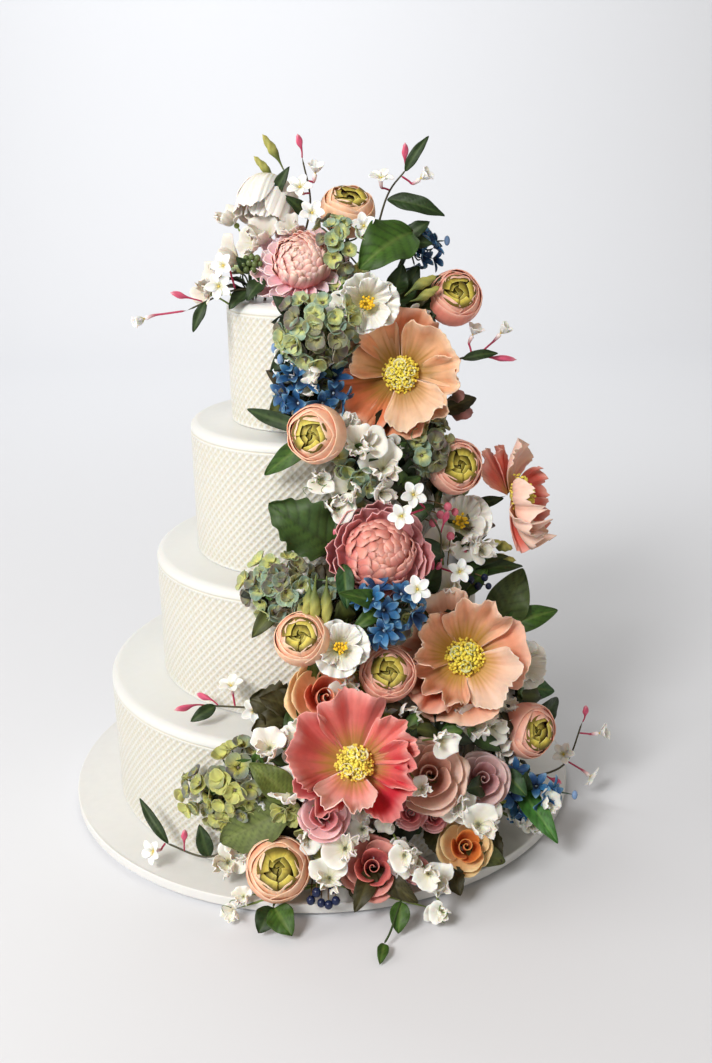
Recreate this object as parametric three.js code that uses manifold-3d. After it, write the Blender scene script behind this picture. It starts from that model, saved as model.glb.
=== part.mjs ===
// Four-tier ivory wedding cake on its cake board, with a cascade of sugar flowers that starts on the
// top tier and runs down the front and the right-hand side to the board.
// Millimetres. X is right, -Y is the front, +Z is up. The origin is the middle of the board's underside.

import * as THREE from 'three'
import { mergeVertices } from 'three/addons/utils/BufferGeometryUtils.js'
import Module from 'manifold-3d'

const wasm = await Module()
wasm.setup()

// ---------------------------------------------------------------- driving dimensions

const BOARD = { radius: 203, thickness: 11 }
const TIERS = [
  { name: 'tier_bottom', radius: 168, top: 111.5 },
  { name: 'tier_third', radius: 126, top: 208.5 },
  { name: 'tier_second', radius: 94, top: 309 },
  { name: 'tier_top', radius: 62.5, top: 399.5 },
]
const RIM_FILLET = 6
const ROUND_SIDES = 40
const GAP = 0.3
const CLEARANCE = 0.45
const STALK = { radius: 2.2, sides: 4, sunk: 3 }
const LEAF = { thickness: 1.2, arch: 0.12, fold: 0.25, wave: 0.04, waves: 2.2, blunt: 0.75, along: 5 }
const PETAL_THICKNESS = 1.5
const WIRE_RADIUS = 1
const SMALLEST_DETAIL = 0.03

const COLOURS = {
  ivory: '#f3f0e4', board: '#efece1', peach: '#eda987', rosePink: '#e0606a', coral: '#e08870',
  ranunculus: '#e8957a', pink: '#e69a9c', dustyPink: '#cf7a82', apricot: '#eeb07c', blush: '#dcb4a6',
  mauve: '#c9a6ab', amber: '#e5a055', white: '#f8f5ec', jasmine: '#f6efe9', blue: '#2c568f',
  hydrangea: '#7f9a80', olive: '#8c9153', leaf: '#46763a', darkLeaf: '#2c4a2e', brownLeaf: '#43401f',
}

// ---------------------------------------------------------------- small helpers

const { PI, sin, cos, abs, max, min, sqrt } = Math
const TURN = 2 * PI
const radians = THREE.MathUtils.degToRad
const vec = ([x, y, z]) => new THREE.Vector3(x, y, z)
const UP = new THREE.Vector3(0, 0, 1)
const BACK = new THREE.Vector3(0, 1, 0)
const STEEP = 0.98

// Unit vector that points `turn` degrees round from the front towards the right, and `lift` degrees up.
function direction([turn, lift]) {
  const flat = cos(radians(lift))
  return new THREE.Vector3(flat * sin(radians(turn)), -flat * cos(radians(turn)), sin(radians(lift)))
}

// Moves a shape made round +Z to a point, facing a direction, with its own X level before the roll.
function placed(geometry, at, facing, roll = 0) {
  const out = facing.clone().normalize()
  const side = new THREE.Vector3().crossVectors(abs(out.z) > STEEP ? BACK : UP, out)
  side.normalize().applyAxisAngle(out, radians(roll))
  const top = new THREE.Vector3().crossVectors(out, side)
  return geometry.applyMatrix4(new THREE.Matrix4().makeBasis(side, top, out).setPosition(at))
}

function meshed(points, faces) {
  const geometry = new THREE.BufferGeometry()
  geometry.setAttribute('position', new THREE.Float32BufferAttribute(points.flat(), 3))
  geometry.setIndex(faces.flat())
  return geometry
}

// ---------------------------------------------------------------- shapes

// A closed turned shape: rings of [radius, height] from the axis below to the axis above. `shaped` may
// move a ring's point by its angle, which gives lobes, ruffles and petal tips.
function turned(rings, sides, shaped = (angle, r, z) => [r, z]) {
  const points = []
  const faces = []
  const last = rings.length - 1
  rings.forEach(([radius, height], ring) => {
    const count = ring === 0 || ring === last ? 1 : sides
    for (let i = 0; i < count; i++) {
      const angle = TURN * i / sides
      const [r, z] = count === 1 ? [0, height] : shaped(angle, radius, height, ring)
      points.push([r * cos(angle), r * sin(angle), z])
    }
  })
  const start = ring => 1 + (ring - 1) * sides
  const end = points.length - 1
  for (let i = 0; i < sides; i++) {
    const j = (i + 1) % sides
    faces.push([0, start(1) + j, start(1) + i])
    for (let ring = 1; ring < last - 1; ring++) {
      const [a, b, c, d] = [start(ring) + i, start(ring) + j, start(ring + 1) + j, start(ring + 1) + i]
      faces.push([a, b, c], [a, c, d])
    }
    faces.push([start(last - 1) + i, start(last - 1) + j, end])
  }
  return meshed(points, faces)
}

// A turned shape laid along the line from one point to another: rings of [radius, share of the length].
function spindle(from, to, rings, sides) {
  const line = to.clone().sub(from)
  const length = line.length()
  return placed(turned(rings.map(([r, share]) => [r, share * length]), sides), from, line)
}

// A round wire or stem along a path.
function wire(path, steps, radius = WIRE_RADIUS, sides = 4) {
  const round = new THREE.Shape()
  for (let i = 0; i < sides; i++) {
    const angle = TURN * i / sides
    const to = i === 0 ? 'moveTo' : 'lineTo'
    round[to](radius * cos(angle), radius * sin(angle))
  }
  round.closePath()
  return new THREE.ExtrudeGeometry(round, { extrudePath: path, steps, bevelEnabled: false })
}

// A leaf or a loose petal: a thin curved sheet from its base to its tip. Its middle line rises by the
// leaf's arch towards `face`, its two halves fold up, and its edge waves. Both faces are split alike.
function leaf(base, tip, width, { face = direction([0, 30]), along = LEAF.along } = {}) {
  const across = 2
  const line = tip.clone().sub(base)
  const length = line.length()
  const ahead = line.clone().normalize()
  const out = face.clone().addScaledVector(ahead, -face.dot(ahead)).normalize()
  const side = new THREE.Vector3().crossVectors(ahead, out)
  const points = []
  for (const layer of [-0.5, 0.5]) {
    for (let i = 0; i <= along; i++) {
      const s = i / along
      const half = max(LEAF.thickness / 2, width / 2 * sin(PI * s ** LEAF.blunt) ** 0.8)
      for (let j = 0; j <= across; j++) {
        const u = 2 * j / across - 1
        const ripple = LEAF.wave * width * sin(TURN * LEAF.waves * s + u) * u * u
        const bow = LEAF.arch * length * 4 * s * (1 - s)
        const rise = bow + LEAF.fold * half * abs(u) + ripple + layer * LEAF.thickness
        points.push(base.clone().lerp(tip, s).addScaledVector(side, u * half)
          .addScaledVector(out, rise).toArray())
      }
    }
  }
  const faces = []
  const row = across + 1
  const layerSize = row * (along + 1)
  const quad = (a, b, c, d) => faces.push([a, b, c], [a, c, d])
  for (let i = 0; i < along; i++) {
    for (let j = 0; j < across; j++) {
      const a = i * row + j
      faces.push([a, a + row, a + 1], [a + row, a + row + 1, a + 1])
      const b = a + layerSize
      faces.push([b, b + 1, b + row], [b + row, b + 1, b + row + 1])
    }
    const left = i * row
    const right = left + across
    quad(left, left + layerSize, left + row + layerSize, left + row)
    quad(right, right + row, right + row + layerSize, right + layerSize)
  }
  for (let j = 0; j < across; j++) {
    const far = along * row + j
    quad(j, j + 1, j + 1 + layerSize, j + layerSize)
    quad(far, far + layerSize, far + 1 + layerSize, far + 1)
  }
  return meshed(points, faces)
}

// ---------------------------------------------------------------- flower forms, all round +Z

// How far the rim of an open flower reaches at an angle: the largest of its petals' round outlines.
function petalReach(angle, petals) {
  let reach = 0.5
  for (const [middle, length, spread] of petals) {
    const off = abs(((angle - radians(middle)) % TURN + 3 * PI) % TURN - PI) / radians(spread)
    if (off < 1) reach = max(reach, length * (1 - off ** 3) ** 0.45)
  }
  return reach
}

// An open poppy: a shallow ruffled bowl with the petals' outline, and a domed boss of stamens. The rings
// are [radius, height of the bare form, share of the petal's thickness above the bowl].
function poppy({ radius, petals, cup = 0.24, ruffle = 0.07, waves = 7 }) {
  const rings = [[0, -0.3], [0.1, -0.2], [0.55, 0], [1, 0], [0.98, 1], [0.55, 1], [0.2, 1], [0, 0.25]]
  const isPetal = ring => ring > 1 && ring < 7
  const sized = rings.map(([r, z], ring) => [r, isPetal(ring) ? z : z * radius])
  return turned(sized, 24, (angle, r, z, ring) => {
    if (!isPetal(ring)) return [r * radius, z]
    const reach = 1 + (petalReach(angle, petals) - 1) * min(1, (r / 0.9) ** 2)
    const bowl = cup * r * r + ruffle * r ** 3 * sin(waves * angle + 1)
    return [r * reach * radius, bowl * radius + z * PETAL_THICKNESS]
  })
}

// A ranunculus: a ball of wrapped petals, open at the top round a domed green heart.
function ranunculus({ radius, petals = 5 }) {
  const rings = [[0, -0.86], [0.6, -0.74], [0.97, -0.2], [0.97, 0.3], [0.66, 0.8], [0.54, 0.74],
    [0.44, 0.52], [0, 0.66]]
  const scaled = rings.map(([r, z]) => [r * radius, z * radius])
  return turned(scaled, 11, (angle, r, z, ring) => {
    const lift = ring === 4 || ring === 5 ? 0.05 * radius * sin(petals * angle + 0.6) : 0
    return [r * (1 + 0.03 * sin(petals * angle)), z + lift]
  })
}

// A garden rose: flared outer petals round a taller rolled heart.
function rose({ radius, petals = 5, sides = 10 }) {
  const rings = [[0, -0.8], [0.5, -0.66], [1, 0.22], [0.88, 0.34], [0.58, 0.16], [0.54, 0.52],
    [0.36, 0.5], [0, 0.76]]
  const scaled = rings.map(([r, z]) => [r * radius, z * radius])
  return turned(scaled, sides, (angle, r, z, ring) => {
    const outer = ring === 2 || ring === 3
    const lobe = outer ? 0.1 * cos(petals * angle) : 0
    return [r * (1 + lobe), z - (outer ? 0.08 * radius * cos(petals * angle) : 0)]
  })
}

// A double peony: a ruffled ball that sits in a ring of broad outer petals.
function peony({ radius, ball = 0.72, petals = 7 }) {
  const rings = [[0, -0.62], [0.5, -0.46], [1, 0.02], [0.96, 0.08], [0.76, -0.02], [ball, 0.2],
    [0.86 * ball, 0.5], [0.4 * ball, 0.66], [0, 0.6]]
  const scaled = rings.map(([r, z]) => [r * radius, z * radius])
  return turned(scaled, 2 * petals, (angle, r, z, ring) => {
    const outer = ring === 2 || ring === 3
    const lobe = outer ? 0.08 * cos(petals * angle) : ring > 4 ? 0.04 * cos(3 * angle + 2 * ring) : 0
    return [r * (1 + lobe), z + (outer ? 0.07 * radius * sin(petals * angle) : 0)]
  })
}

// A lisianthus: a deep cup whose broad petals turn out in a ruffled rim.
function lisianthus({ radius, depth = 0.75, petals = 5 }) {
  const thick = PETAL_THICKNESS / radius
  const rings = [[0, -depth], [0.2, -depth + 0.05], [0.66, -0.06], [1, 0.16], [0.97, 0.16 + thick],
    [0.58, 0], [0.22, -0.32], [0, -0.24]]
  const scaled = rings.map(([r, z]) => [r * radius, z * radius])
  return turned(scaled, 2 * petals, (angle, r, z, ring) => {
    const rim = ring === 3 || ring === 4
    const lobe = rim ? 0.09 * cos(petals * angle) : 0
    return [r * (1 + lobe), z + (rim ? 0.09 * radius * sin(3 * angle + 1) : 0)]
  })
}

// A small open flower whose throat runs back to a point: a lobed or ruffled rim round `at`, facing `out`,
// joined to the point `from` behind it and to a shallow heart in front.
function funnel(at, from, out, radius, { petals = 4, notch = 0.6, ruffle = 0, heart = 0.1, roll = 0 } = {}) {
  const sides = 2 * petals
  const rim = turned([[0, -1], [radius, 0], [0, heart * radius]], sides, (angle, r) => {
    const lobe = 0.5 + 0.5 * cos(petals * angle)
    const lift = ruffle * cos(petals * angle) + 0.1 * sin(angle)
    return [r * (notch + (1 - notch) * lobe), lift * radius]
  })
  const flower = placed(rim, at, out, roll)
  flower.attributes.position.setXYZ(0, from.x, from.y, from.z)
  return flower
}

// ---------------------------------------------------------------- solids

// The same geometry with its shared corners joined, and nothing but their positions.
function welded(geometry) {
  const bare = geometry.clone()
  bare.deleteAttribute('normal')
  bare.deleteAttribute('uv')
  return mergeVertices(bare, 1e-3)
}

function solid(geometry) {
  const { attributes, index } = welded(geometry)
  const vertProperties = new Float32Array(attributes.position.array)
  return new wasm.Manifold(new wasm.Mesh({ numProp: 3, vertProperties, triVerts: index.array }))
}

// The same geometry with every corner moved out along the mean of its faces' normals, to cut room for
// a neighbour. Every face counts alike, so a sharp rim moves straight outwards.
function swollen(geometry) {
  const { attributes: { position }, index } = welded(geometry)
  const corners = Array.from({ length: position.count },
    (_, i) => new THREE.Vector3().fromBufferAttribute(position, i))
  const normals = corners.map(() => new THREE.Vector3())
  for (let i = 0; i < index.count; i += 3) {
    const face = [0, 1, 2].map(k => index.getX(i + k))
    const normal = new THREE.Triangle(...face.map(k => corners[k])).getNormal(new THREE.Vector3())
    face.forEach(k => normals[k].add(normal))
  }
  corners.forEach((corner, i) => corner.addScaledVector(normals[i].normalize(), CLEARANCE))
  return new THREE.BufferGeometry().setFromPoints(corners).setIndex(index)
}

const joined = solids => solids.reduce((all, one) => all.add(one))

// The largest body of a cut solid: scraps that a neighbour has cut loose are dropped.
function largest(cut) {
  const bodies = cut.decompose()
  return bodies.reduce((best, body) => body.volume() > best.volume() ? body : best)
}

function geometryOf(body) {
  const { vertProperties, triVerts } = body.getMesh()
  const geometry = new THREE.BufferGeometry()
  geometry.setAttribute('position', new THREE.BufferAttribute(new Float32Array(vertProperties), 3))
  geometry.setIndex(new THREE.BufferAttribute(new Uint32Array(triVerts), 1))
  return geometry
}

const overlapping = (a, b) => a.min.every((low, axis) => low < b.max[axis] && b.min[axis] < a.max[axis])

// ---------------------------------------------------------------- the cake

const cake = new THREE.Group()
cake.name = 'tiered_wedding_cake'
const taken = []

// Adds one named piece. The parts that make it are joined, then cut back where one of the pieces that it
// gives way to stands.
function add(name, colour, parts, { roughness = 0.6, yields = taken } = {}) {
  let body = joined(parts.map(solid))
  for (const earlier of yields) {
    if (overlapping(body.boundingBox(), earlier.box)) body = body.subtract(earlier.room)
  }
  const room = joined(parts.map(part => solid(swollen(part))))
  taken.push({ room, box: room.boundingBox() })
  const geometry = geometryOf(largest(body.simplify(SMALLEST_DETAIL)))
  const material = new THREE.MeshStandardMaterial({ color: COLOURS[colour], roughness, metalness: 0 })
  const mesh = new THREE.Mesh(geometry, material)
  mesh.name = name
  cake.add(mesh)
}

// A round slab; a fillet rounds its upper rim.
function slab(radius, bottom, top, fillet = 0) {
  const bevel = fillet * (1 - sqrt(0.5))
  const rim = fillet > 0 ? [[radius, top - fillet], [radius - bevel, top - bevel], [radius - fillet, top]]
    : [[radius, top]]
  return turned([[0, bottom], [radius, bottom], ...rim, [0, top]], ROUND_SIDES)
}

add('cake_board', 'board', [slab(BOARD.radius, 0, BOARD.thickness)], { roughness: 0.5, yields: [] })
let floor = BOARD.thickness
for (const tier of TIERS) {
  tier.bottom = floor + GAP
  add(tier.name, 'ivory', [slab(tier.radius, tier.bottom, tier.top, RIM_FILLET)], { yields: [] })
  floor = tier.top
}

// The nearest point on the cake's sides or ledges, a little below its surface.
function footing(at) {
  const reach = sqrt(at.x ** 2 + at.y ** 2)
  const outward = new THREE.Vector3(at.x / reach, at.y / reach, 0)
  const spots = []
  TIERS.forEach((tier, i) => {
    const height = min(max(at.z, tier.bottom + RIM_FILLET), tier.top - RIM_FILLET)
    spots.push(outward.clone().multiplyScalar(tier.radius - STALK.sunk).setZ(height))
    const inner = i + 1 < TIERS.length ? TIERS[i + 1].radius + STALK.radius : 0
    const ledge = min(max(reach, inner), tier.radius - RIM_FILLET)
    spots.push(outward.clone().multiplyScalar(ledge).setZ(tier.top - STALK.sunk))
  })
  return spots.reduce((best, spot) => spot.distanceTo(at) < best.distanceTo(at) ? spot : best)
}

const stalk = (from, to = footing(from)) => spindle(to, from,
  [[0, 0], [STALK.radius, 0.001], [STALK.radius, 0.999], [0, 1]], STALK.sides)

// Adds a single flower with its stalk and its own leaves, each [tip, width]. The stalk ends `seat` of the
// flower's radius behind its middle.
function addFlower(name, colour, form, { at, facing, roll = 0, leaves = [], foot, seat = 0.3, ...sizes }) {
  const centre = vec(at)
  const out = direction(facing)
  const parts = [placed(form(sizes), centre, out, roll)]
  const back = centre.clone().addScaledVector(out, -seat * sizes.radius)
  parts.push(stalk(back, foot ? vec(foot) : footing(back)))
  for (const [tip, width] of leaves) parts.push(leaf(back, vec(tip), width, { face: out, along: 3 }))
  add(name, colour, parts)
}

// Open poppies: each petal is [direction of its middle, length, half its spread], seen from the front.
const POPPIES = {
  poppy_peach_upper: { colour: 'peach', at: [63, -62, 351], facing: [-4, 14], radius: 43,
    petals: [[100, 1.02, 48], [40, 0.95, 46], [-48, 0.98, 50], [-105, 1.05, 38], [155, 0.95, 42],
      [198, 1.08, 40], [235, 0.98, 40]] },
  poppy_peach_lower: { colour: 'peach', at: [107, -116, 154], facing: [-2, 27], radius: 45,
    petals: [[82, 1, 42], [135, 1.02, 38], [185, 0.98, 36], [250, 1, 44], [-22, 1.02, 46], [20, 0.9, 34]] },
  poppy_pink: { colour: 'rosePink', at: [21, -198, 117], facing: [0, 34], radius: 44,
    petals: [[95, 1.08, 34], [30, 1.02, 36], [162, 1.05, 38], [262, 0.94, 48], [-38, 0.95, 32],
      [205, 0.86, 34]] },
  poppy_coral: { colour: 'coral', at: [154, -30, 248], facing: [60, 10], radius: 41, cup: 0.5,
    petals: [[90, 1, 46], [20, 0.95, 46], [-50, 1, 46], [170, 1, 46], [235, 1, 46]], foot: [88, -18, 232] },
}
for (const [name, { colour, ...spec }] of Object.entries(POPPIES)) {
  addFlower(name, colour, poppy, { seat: 0.22, ...spec })
}

const RANUNCULUS = {
  ranunculus_top: { at: [29, -10, 460], facing: [12, 48], radius: 20 },
  ranunculus_top_right: { at: [104, -30, 399], facing: [12, 30], radius: 20, foot: [60, -17, 392] },
  ranunculus_upper_left: { at: [2, -116, 322], facing: [-12, 14], radius: 20,
    leaves: [[[-47, -62, 328], 11], [[-35, -101, 290], 15]] },
  ranunculus_upper_right: { at: [102, -60, 281], facing: [17, 18], radius: 20.5 },
  ranunculus_middle_left: { at: [-12, -150, 187], facing: [-8, 38], radius: 19 },
  ranunculus_middle_right: { at: [47, -140, 154], facing: [2, 34], radius: 20 },
  ranunculus_lower_right: { at: [153, -108, 89], facing: [14, 24], radius: 21,
    leaves: [[[184, -62, 92], 15]] },
  ranunculus_lower_left: { at: [-33, -199, 38], facing: [3, 34], radius: 22.5 },
}
for (const [name, spec] of Object.entries(RANUNCULUS)) addFlower(name, 'ranunculus', ranunculus, spec)

addFlower('peony_top', 'pink', peony, { at: [-5, -38, 428], facing: [4, 34], radius: 31 })
addFlower('peony_middle', 'dustyPink', peony, { at: [43, -121, 236], facing: [6, 20], radius: 37 })

const LISIANTHUS = {
  lisianthus_upper: { at: [39, -74, 403], facing: [0, 8], radius: 21.5 },
  lisianthus_middle: { at: [14, -158, 183], facing: [3, 26], radius: 19.5 },
  lisianthus_right: { at: [109, -50, 236], facing: [-2, 30], radius: 23.5 },
  lisianthus_top: { at: [-29, 2, 466], facing: [-40, 58], radius: 21 },
  lisianthus_lower: { at: [157, -72, 127], facing: [30, 24], radius: 19 },
}
for (const [name, spec] of Object.entries(LISIANTHUS)) addFlower(name, 'white', lisianthus, spec)

const ROSES = {
  rose_apricot: { colour: 'apricot', at: [2, -147, 141], facing: [12, 28], radius: 24 },
  rose_small_pink: { colour: 'pink', at: [0, -196, 76], facing: [0, 38], radius: 16 },
  rose_blush: { colour: 'blush', at: [73, -180, 95], facing: [-4, 38], radius: 24 },
  rose_mauve: { colour: 'mauve', at: [113, -152, 74], facing: [4, 38], radius: 19,
    leaves: [[[98, -174, 80], 16]] },
  rose_coral: { colour: 'coral', at: [32, -202, 38], facing: [-2, 38], radius: 20,
    leaves: [[[18, -222, 17], 15], [[62, -214, 17], 15]] },
  rose_amber: { colour: 'amber', at: [98, -179, 37], facing: [4, 38], radius: 18,
    leaves: [[[128, -172, 19], 16]] },
}
for (const [name, { colour, ...spec }] of Object.entries(ROSES)) addFlower(name, colour, rose, spec)

// A spray: a stem from the cake through its points, with open stars [centre, facing], closed buds
// [base, tip] and leaves [base, tip, width] that start on the stem, short of its end by a share of its
// last bend.
const STAR_RADIUS = 8.5
const BUD = [[0, 0], [2.3, 0.72], [0, 1]]
const STEM_END = 0.15
function addSpray(name, colour, { stem, stars = [], buds = [], leaves = [], ...leafShape }) {
  const { face = [0, 30], along = 3 } = leafShape
  const points = stem.map(vec)
  const path = new THREE.CatmullRomCurve3([footing(points[0]), ...points])
  const steps = points.length + 1
  const bends = path.getSpacedPoints(steps)
  bends[steps].lerp(bends[steps - 1], STEM_END)
  const nearest = spot => bends.slice(1).map((bend, i) => {
    const reached = new THREE.Vector3()
    return new THREE.Line3(bends[i], bend).closestPointToPoint(spot, true, reached)
  }).reduce((best, p) => p.distanceTo(spot) < best.distanceTo(spot) ? p : best)
  const parts = [wire(path, steps)]
  for (const [at, facing] of stars) {
    const centre = vec(at)
    const shape = { petals: 5, notch: 0.3, roll: 7 * at[0] }
    parts.push(funnel(centre, nearest(centre), direction(facing), STAR_RADIUS, shape))
  }
  for (const [base, tip] of buds) parts.push(spindle(nearest(vec(base)), vec(tip), BUD, 4))
  for (const [base, tip, width] of leaves) {
    parts.push(leaf(nearest(vec(base)), vec(tip), width, { face: direction(face), along }))
  }
  add(name, colour, parts)
}

// Broad leaves and leaf pairs on their own stems.
const LEAVES = {
  leaf_top: { colour: 'leaf', stem: [[70, -22, 434], [74, -30, 446]],
    leaves: [[[74, -30, 446], [34, -58, 424], 38]], face: [-4, 34], along: 5 },
  leaf_middle: { colour: 'darkLeaf', stem: [[14, -100, 234], [10, -104, 239]],
    leaves: [[[10, -104, 239], [-31, -104, 270], 32]], face: [0, 24], along: 5 },
  leaves_right: { colour: 'leaf', stem: [[130, -28, 132], [140, -30, 137]],
    leaves: [[[140, -30, 137], [161, -20, 184], 26], [[140, -30, 137], [188, -22, 150], 15]],
    face: [0, 20] },
  leaf_lower_left: { colour: 'leaf', stem: [[-18, -180, 76], [-24, -186, 76]],
    leaves: [[[-24, -186, 76], [-71, -171, 44], 30]], face: [0, 34], along: 5 },
  leaves_front: { colour: 'leaf', stem: [[-34, -190, 13.6], [-37, -209, 14]],
    leaves: [[[-37, -209, 14], [-47, -224, 5], 17], [[-36, -209, 14], [-24, -230, 6], 20]], face: [0, 40] },
  leaf_hanging: { colour: 'leaf', stem: [[57, -196, 17], [51, -212, 20], [42, -232, 9], [37, -240, 5]],
    leaves: [[[50, -214, 19], [47, -229, 4], 14], [[37, -240, 5], [33, -257, 1.8], 8]], face: [0, 40] },
  leaves_brown: { colour: 'brownLeaf', stem: [[-14, -128, 126], [-18, -137, 124]],
    leaves: [[[-18, -137, 124], [-50, -132, 133], 28], [[-18, -137, 124], [-50, -152, 119], 18]],
    face: [0, 40] },
}
for (const [name, { colour, ...spec }] of Object.entries(LEAVES)) addSpray(name, colour, spec)

// A small bunch is a knot on a stalk; the flowers' throats start inside the knot.
const KNOT_SIDES = 5
function knot(root, radius) {
  const rings = [[0, -radius], [0.85 * radius, -0.45 * radius], [0.85 * radius, 0.45 * radius], [0, radius]]
  return placed(turned(rings, KNOT_SIDES), root, root.clone().sub(footing(root)))
}
const throat = (root, at, radius) => at.clone().sub(root).setLength(0.7 * radius).add(root)

// Sweet peas: each [centre, radius, facing, roll], round their knot. The raised heart is the small wings.
const SWEET_PEA = { petals: 4, notch: 0.82, ruffle: 0.12, heart: 0.4 }
const SWEET_PEAS = {
  sweet_peas_top: { root: [-44, 0, 432], knotRadius: 7, flowers: [[[-59, 14, 455], 12, [-60, 40], 0],
    [[-62, -6, 426], 13, [-60, 10], 40], [[-40, -20, 440], 10, [-30, 10], 80]] },
  sweet_peas_upper: { root: [36, -100, 294], knotRadius: 7, flowers: [[[30, -111, 310], 11, [-5, 20], 0],
    [[47, -108, 296], 14, [5, 20], 30], [[25, -108, 280], 11, [-10, 10], 70]] },
  sweet_peas_left: { root: [-34, -172, 96], knotRadius: 7, flowers: [[[-38, -182, 121], 12, [-10, 30], 0],
    [[-24, -194, 92], 16, [-10, 40], 30], [[-54, -176, 89], 10, [-50, 20], 10]] },
  sweet_peas_front: { root: [8, -192, 50], knotRadius: 6, flowers: [[[14, -205, 57], 14, [0, 40], 90],
    [[2, -214, 38], 13, [0, 30], 0]] },
  sweet_peas_front_right: { root: [68, -194, 34], knotRadius: 7,
    flowers: [[[58, -202, 44], 13, [-6, 30], 90], [[76, -208, 27], 13, [0, 30], 20],
      [[78, -219, 12], 8, [0, 20], 70]] },
  sweet_peas_right: { root: [106, -158, 46], knotRadius: 6, flowers: [[[113, -168, 50], 14, [10, 50], 0],
    [[92, -184, 74], 12, [-4, 20], 90]] },
}
for (const [name, { root, knotRadius, flowers }] of Object.entries(SWEET_PEAS)) {
  const start = vec(root)
  const heads = flowers.map(([at, radius, facing, roll]) => funnel(vec(at),
    throat(start, vec(at), knotRadius), direction(facing), radius, { ...SWEET_PEA, roll }))
  add(name, 'white', [stalk(start), knot(start, knotRadius), ...heads])
}

const JASMINE = {
  jasmine_top_right: { stem: [[44, -12, 420], [56, -15, 468], [71, -15, 489]],
    stars: [[[52, -25, 483], [-10, 60]], [[81, -15, 482], [60, 30]], [[39, -41, 452], [-10, 20]]],
    buds: [[[71, -15, 488], [70, -15, 507]]],
    leaves: [[[70, -15, 487], [87, -15, 511], 8], [[57, -15, 468], [98, -20, 456], 14]] },
  jasmine_top_left: { stem: [[-6, -6, 430], [2, -10, 466], [-3, -10, 498]],
    stars: [[[6, -12, 487], [20, 60]], [[3, -36, 461], [0, 30]], [[-5, -24, 478], [-20, 40]]],
    buds: [[[-3, -10, 497], [-6, -10, 514]]],
    leaves: [[[0, -8, 456], [-17, -14, 472], 10]] },
  jasmine_left: { stem: [[-34, -26, 404], [-54, -38, 409], [-88, -42, 396]],
    stars: [[[-60, -44, 427], [-30, 20]], [[-64, -46, 413], [-10, 10]], [[-118, -42, 391], [-90, -10]]],
    buds: [[[-76, -41, 402], [-99, -42, 409]]],
    leaves: [[[-74, -41, 402], [-84, -46, 381], 8]] },
  jasmine_right: { stem: [[86, -38, 336], [105, -35, 354], [122, -30, 357]],
    stars: [[[118, -30, 372], [40, 60]], [[140, -20, 371], [60, 50]]],
    buds: [[[121, -30, 357], [152, -25, 352]]],
    leaves: [[[110, -34, 355], [137, -30, 358], 8]] },
  jasmine_middle: { stem: [[88, -88, 216], [88, -98, 242], [76, -112, 266]],
    stars: [[[67, -118, 278], [0, 20]], [[58, -131, 267], [-10, 20]], [[102, -98, 213], [10, 30]]],
    buds: [[[88, -98, 242], [94, -92, 258]]], leaves: [] },
  jasmine_middle_left: { stem: [[-24, -130, 122], [-51, -126, 124], [-84, -122, 125]],
    stars: [[[-48, -134, 125], [0, 40]], [[-64, -127, 142], [-20, 70]]],
    buds: [[[-82, -122, 125], [-105, -132, 127]], [[-74, -123, 125], [-91, -108, 128]]],
    leaves: [[[-76, -123, 125], [-94, -131, 117], 10]] },
  jasmine_lower_left: { stem: [[-62, -158, 30], [-87, -157, 22], [-116, -145, 27]],
    stars: [[[-124, -152, 25], [-40, 20]]],
    buds: [[[-102, -152, 24], [-101, -150, 41]]],
    leaves: [[[-84, -157, 22], [-90, -152, 46], 12], [[-114, -146, 27], [-136, -122, 51], 8]] },
  jasmine_lower_right: { stem: [[160, -82, 34], [192, -65, 35], [207, -55, 67]],
    stars: [[[222, -50, 53], [60, 20]], [[189, -72, 47], [-20, 50]], [[214, -60, 20], [60, -30]]],
    buds: [[[207, -55, 66], [209, -55, 81]], [[172, -76, 34], [187, -80, 26]]], leaves: [] },
}
for (const [name, spec] of Object.entries(JASMINE)) addSpray(name, 'jasmine', spec)

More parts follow.
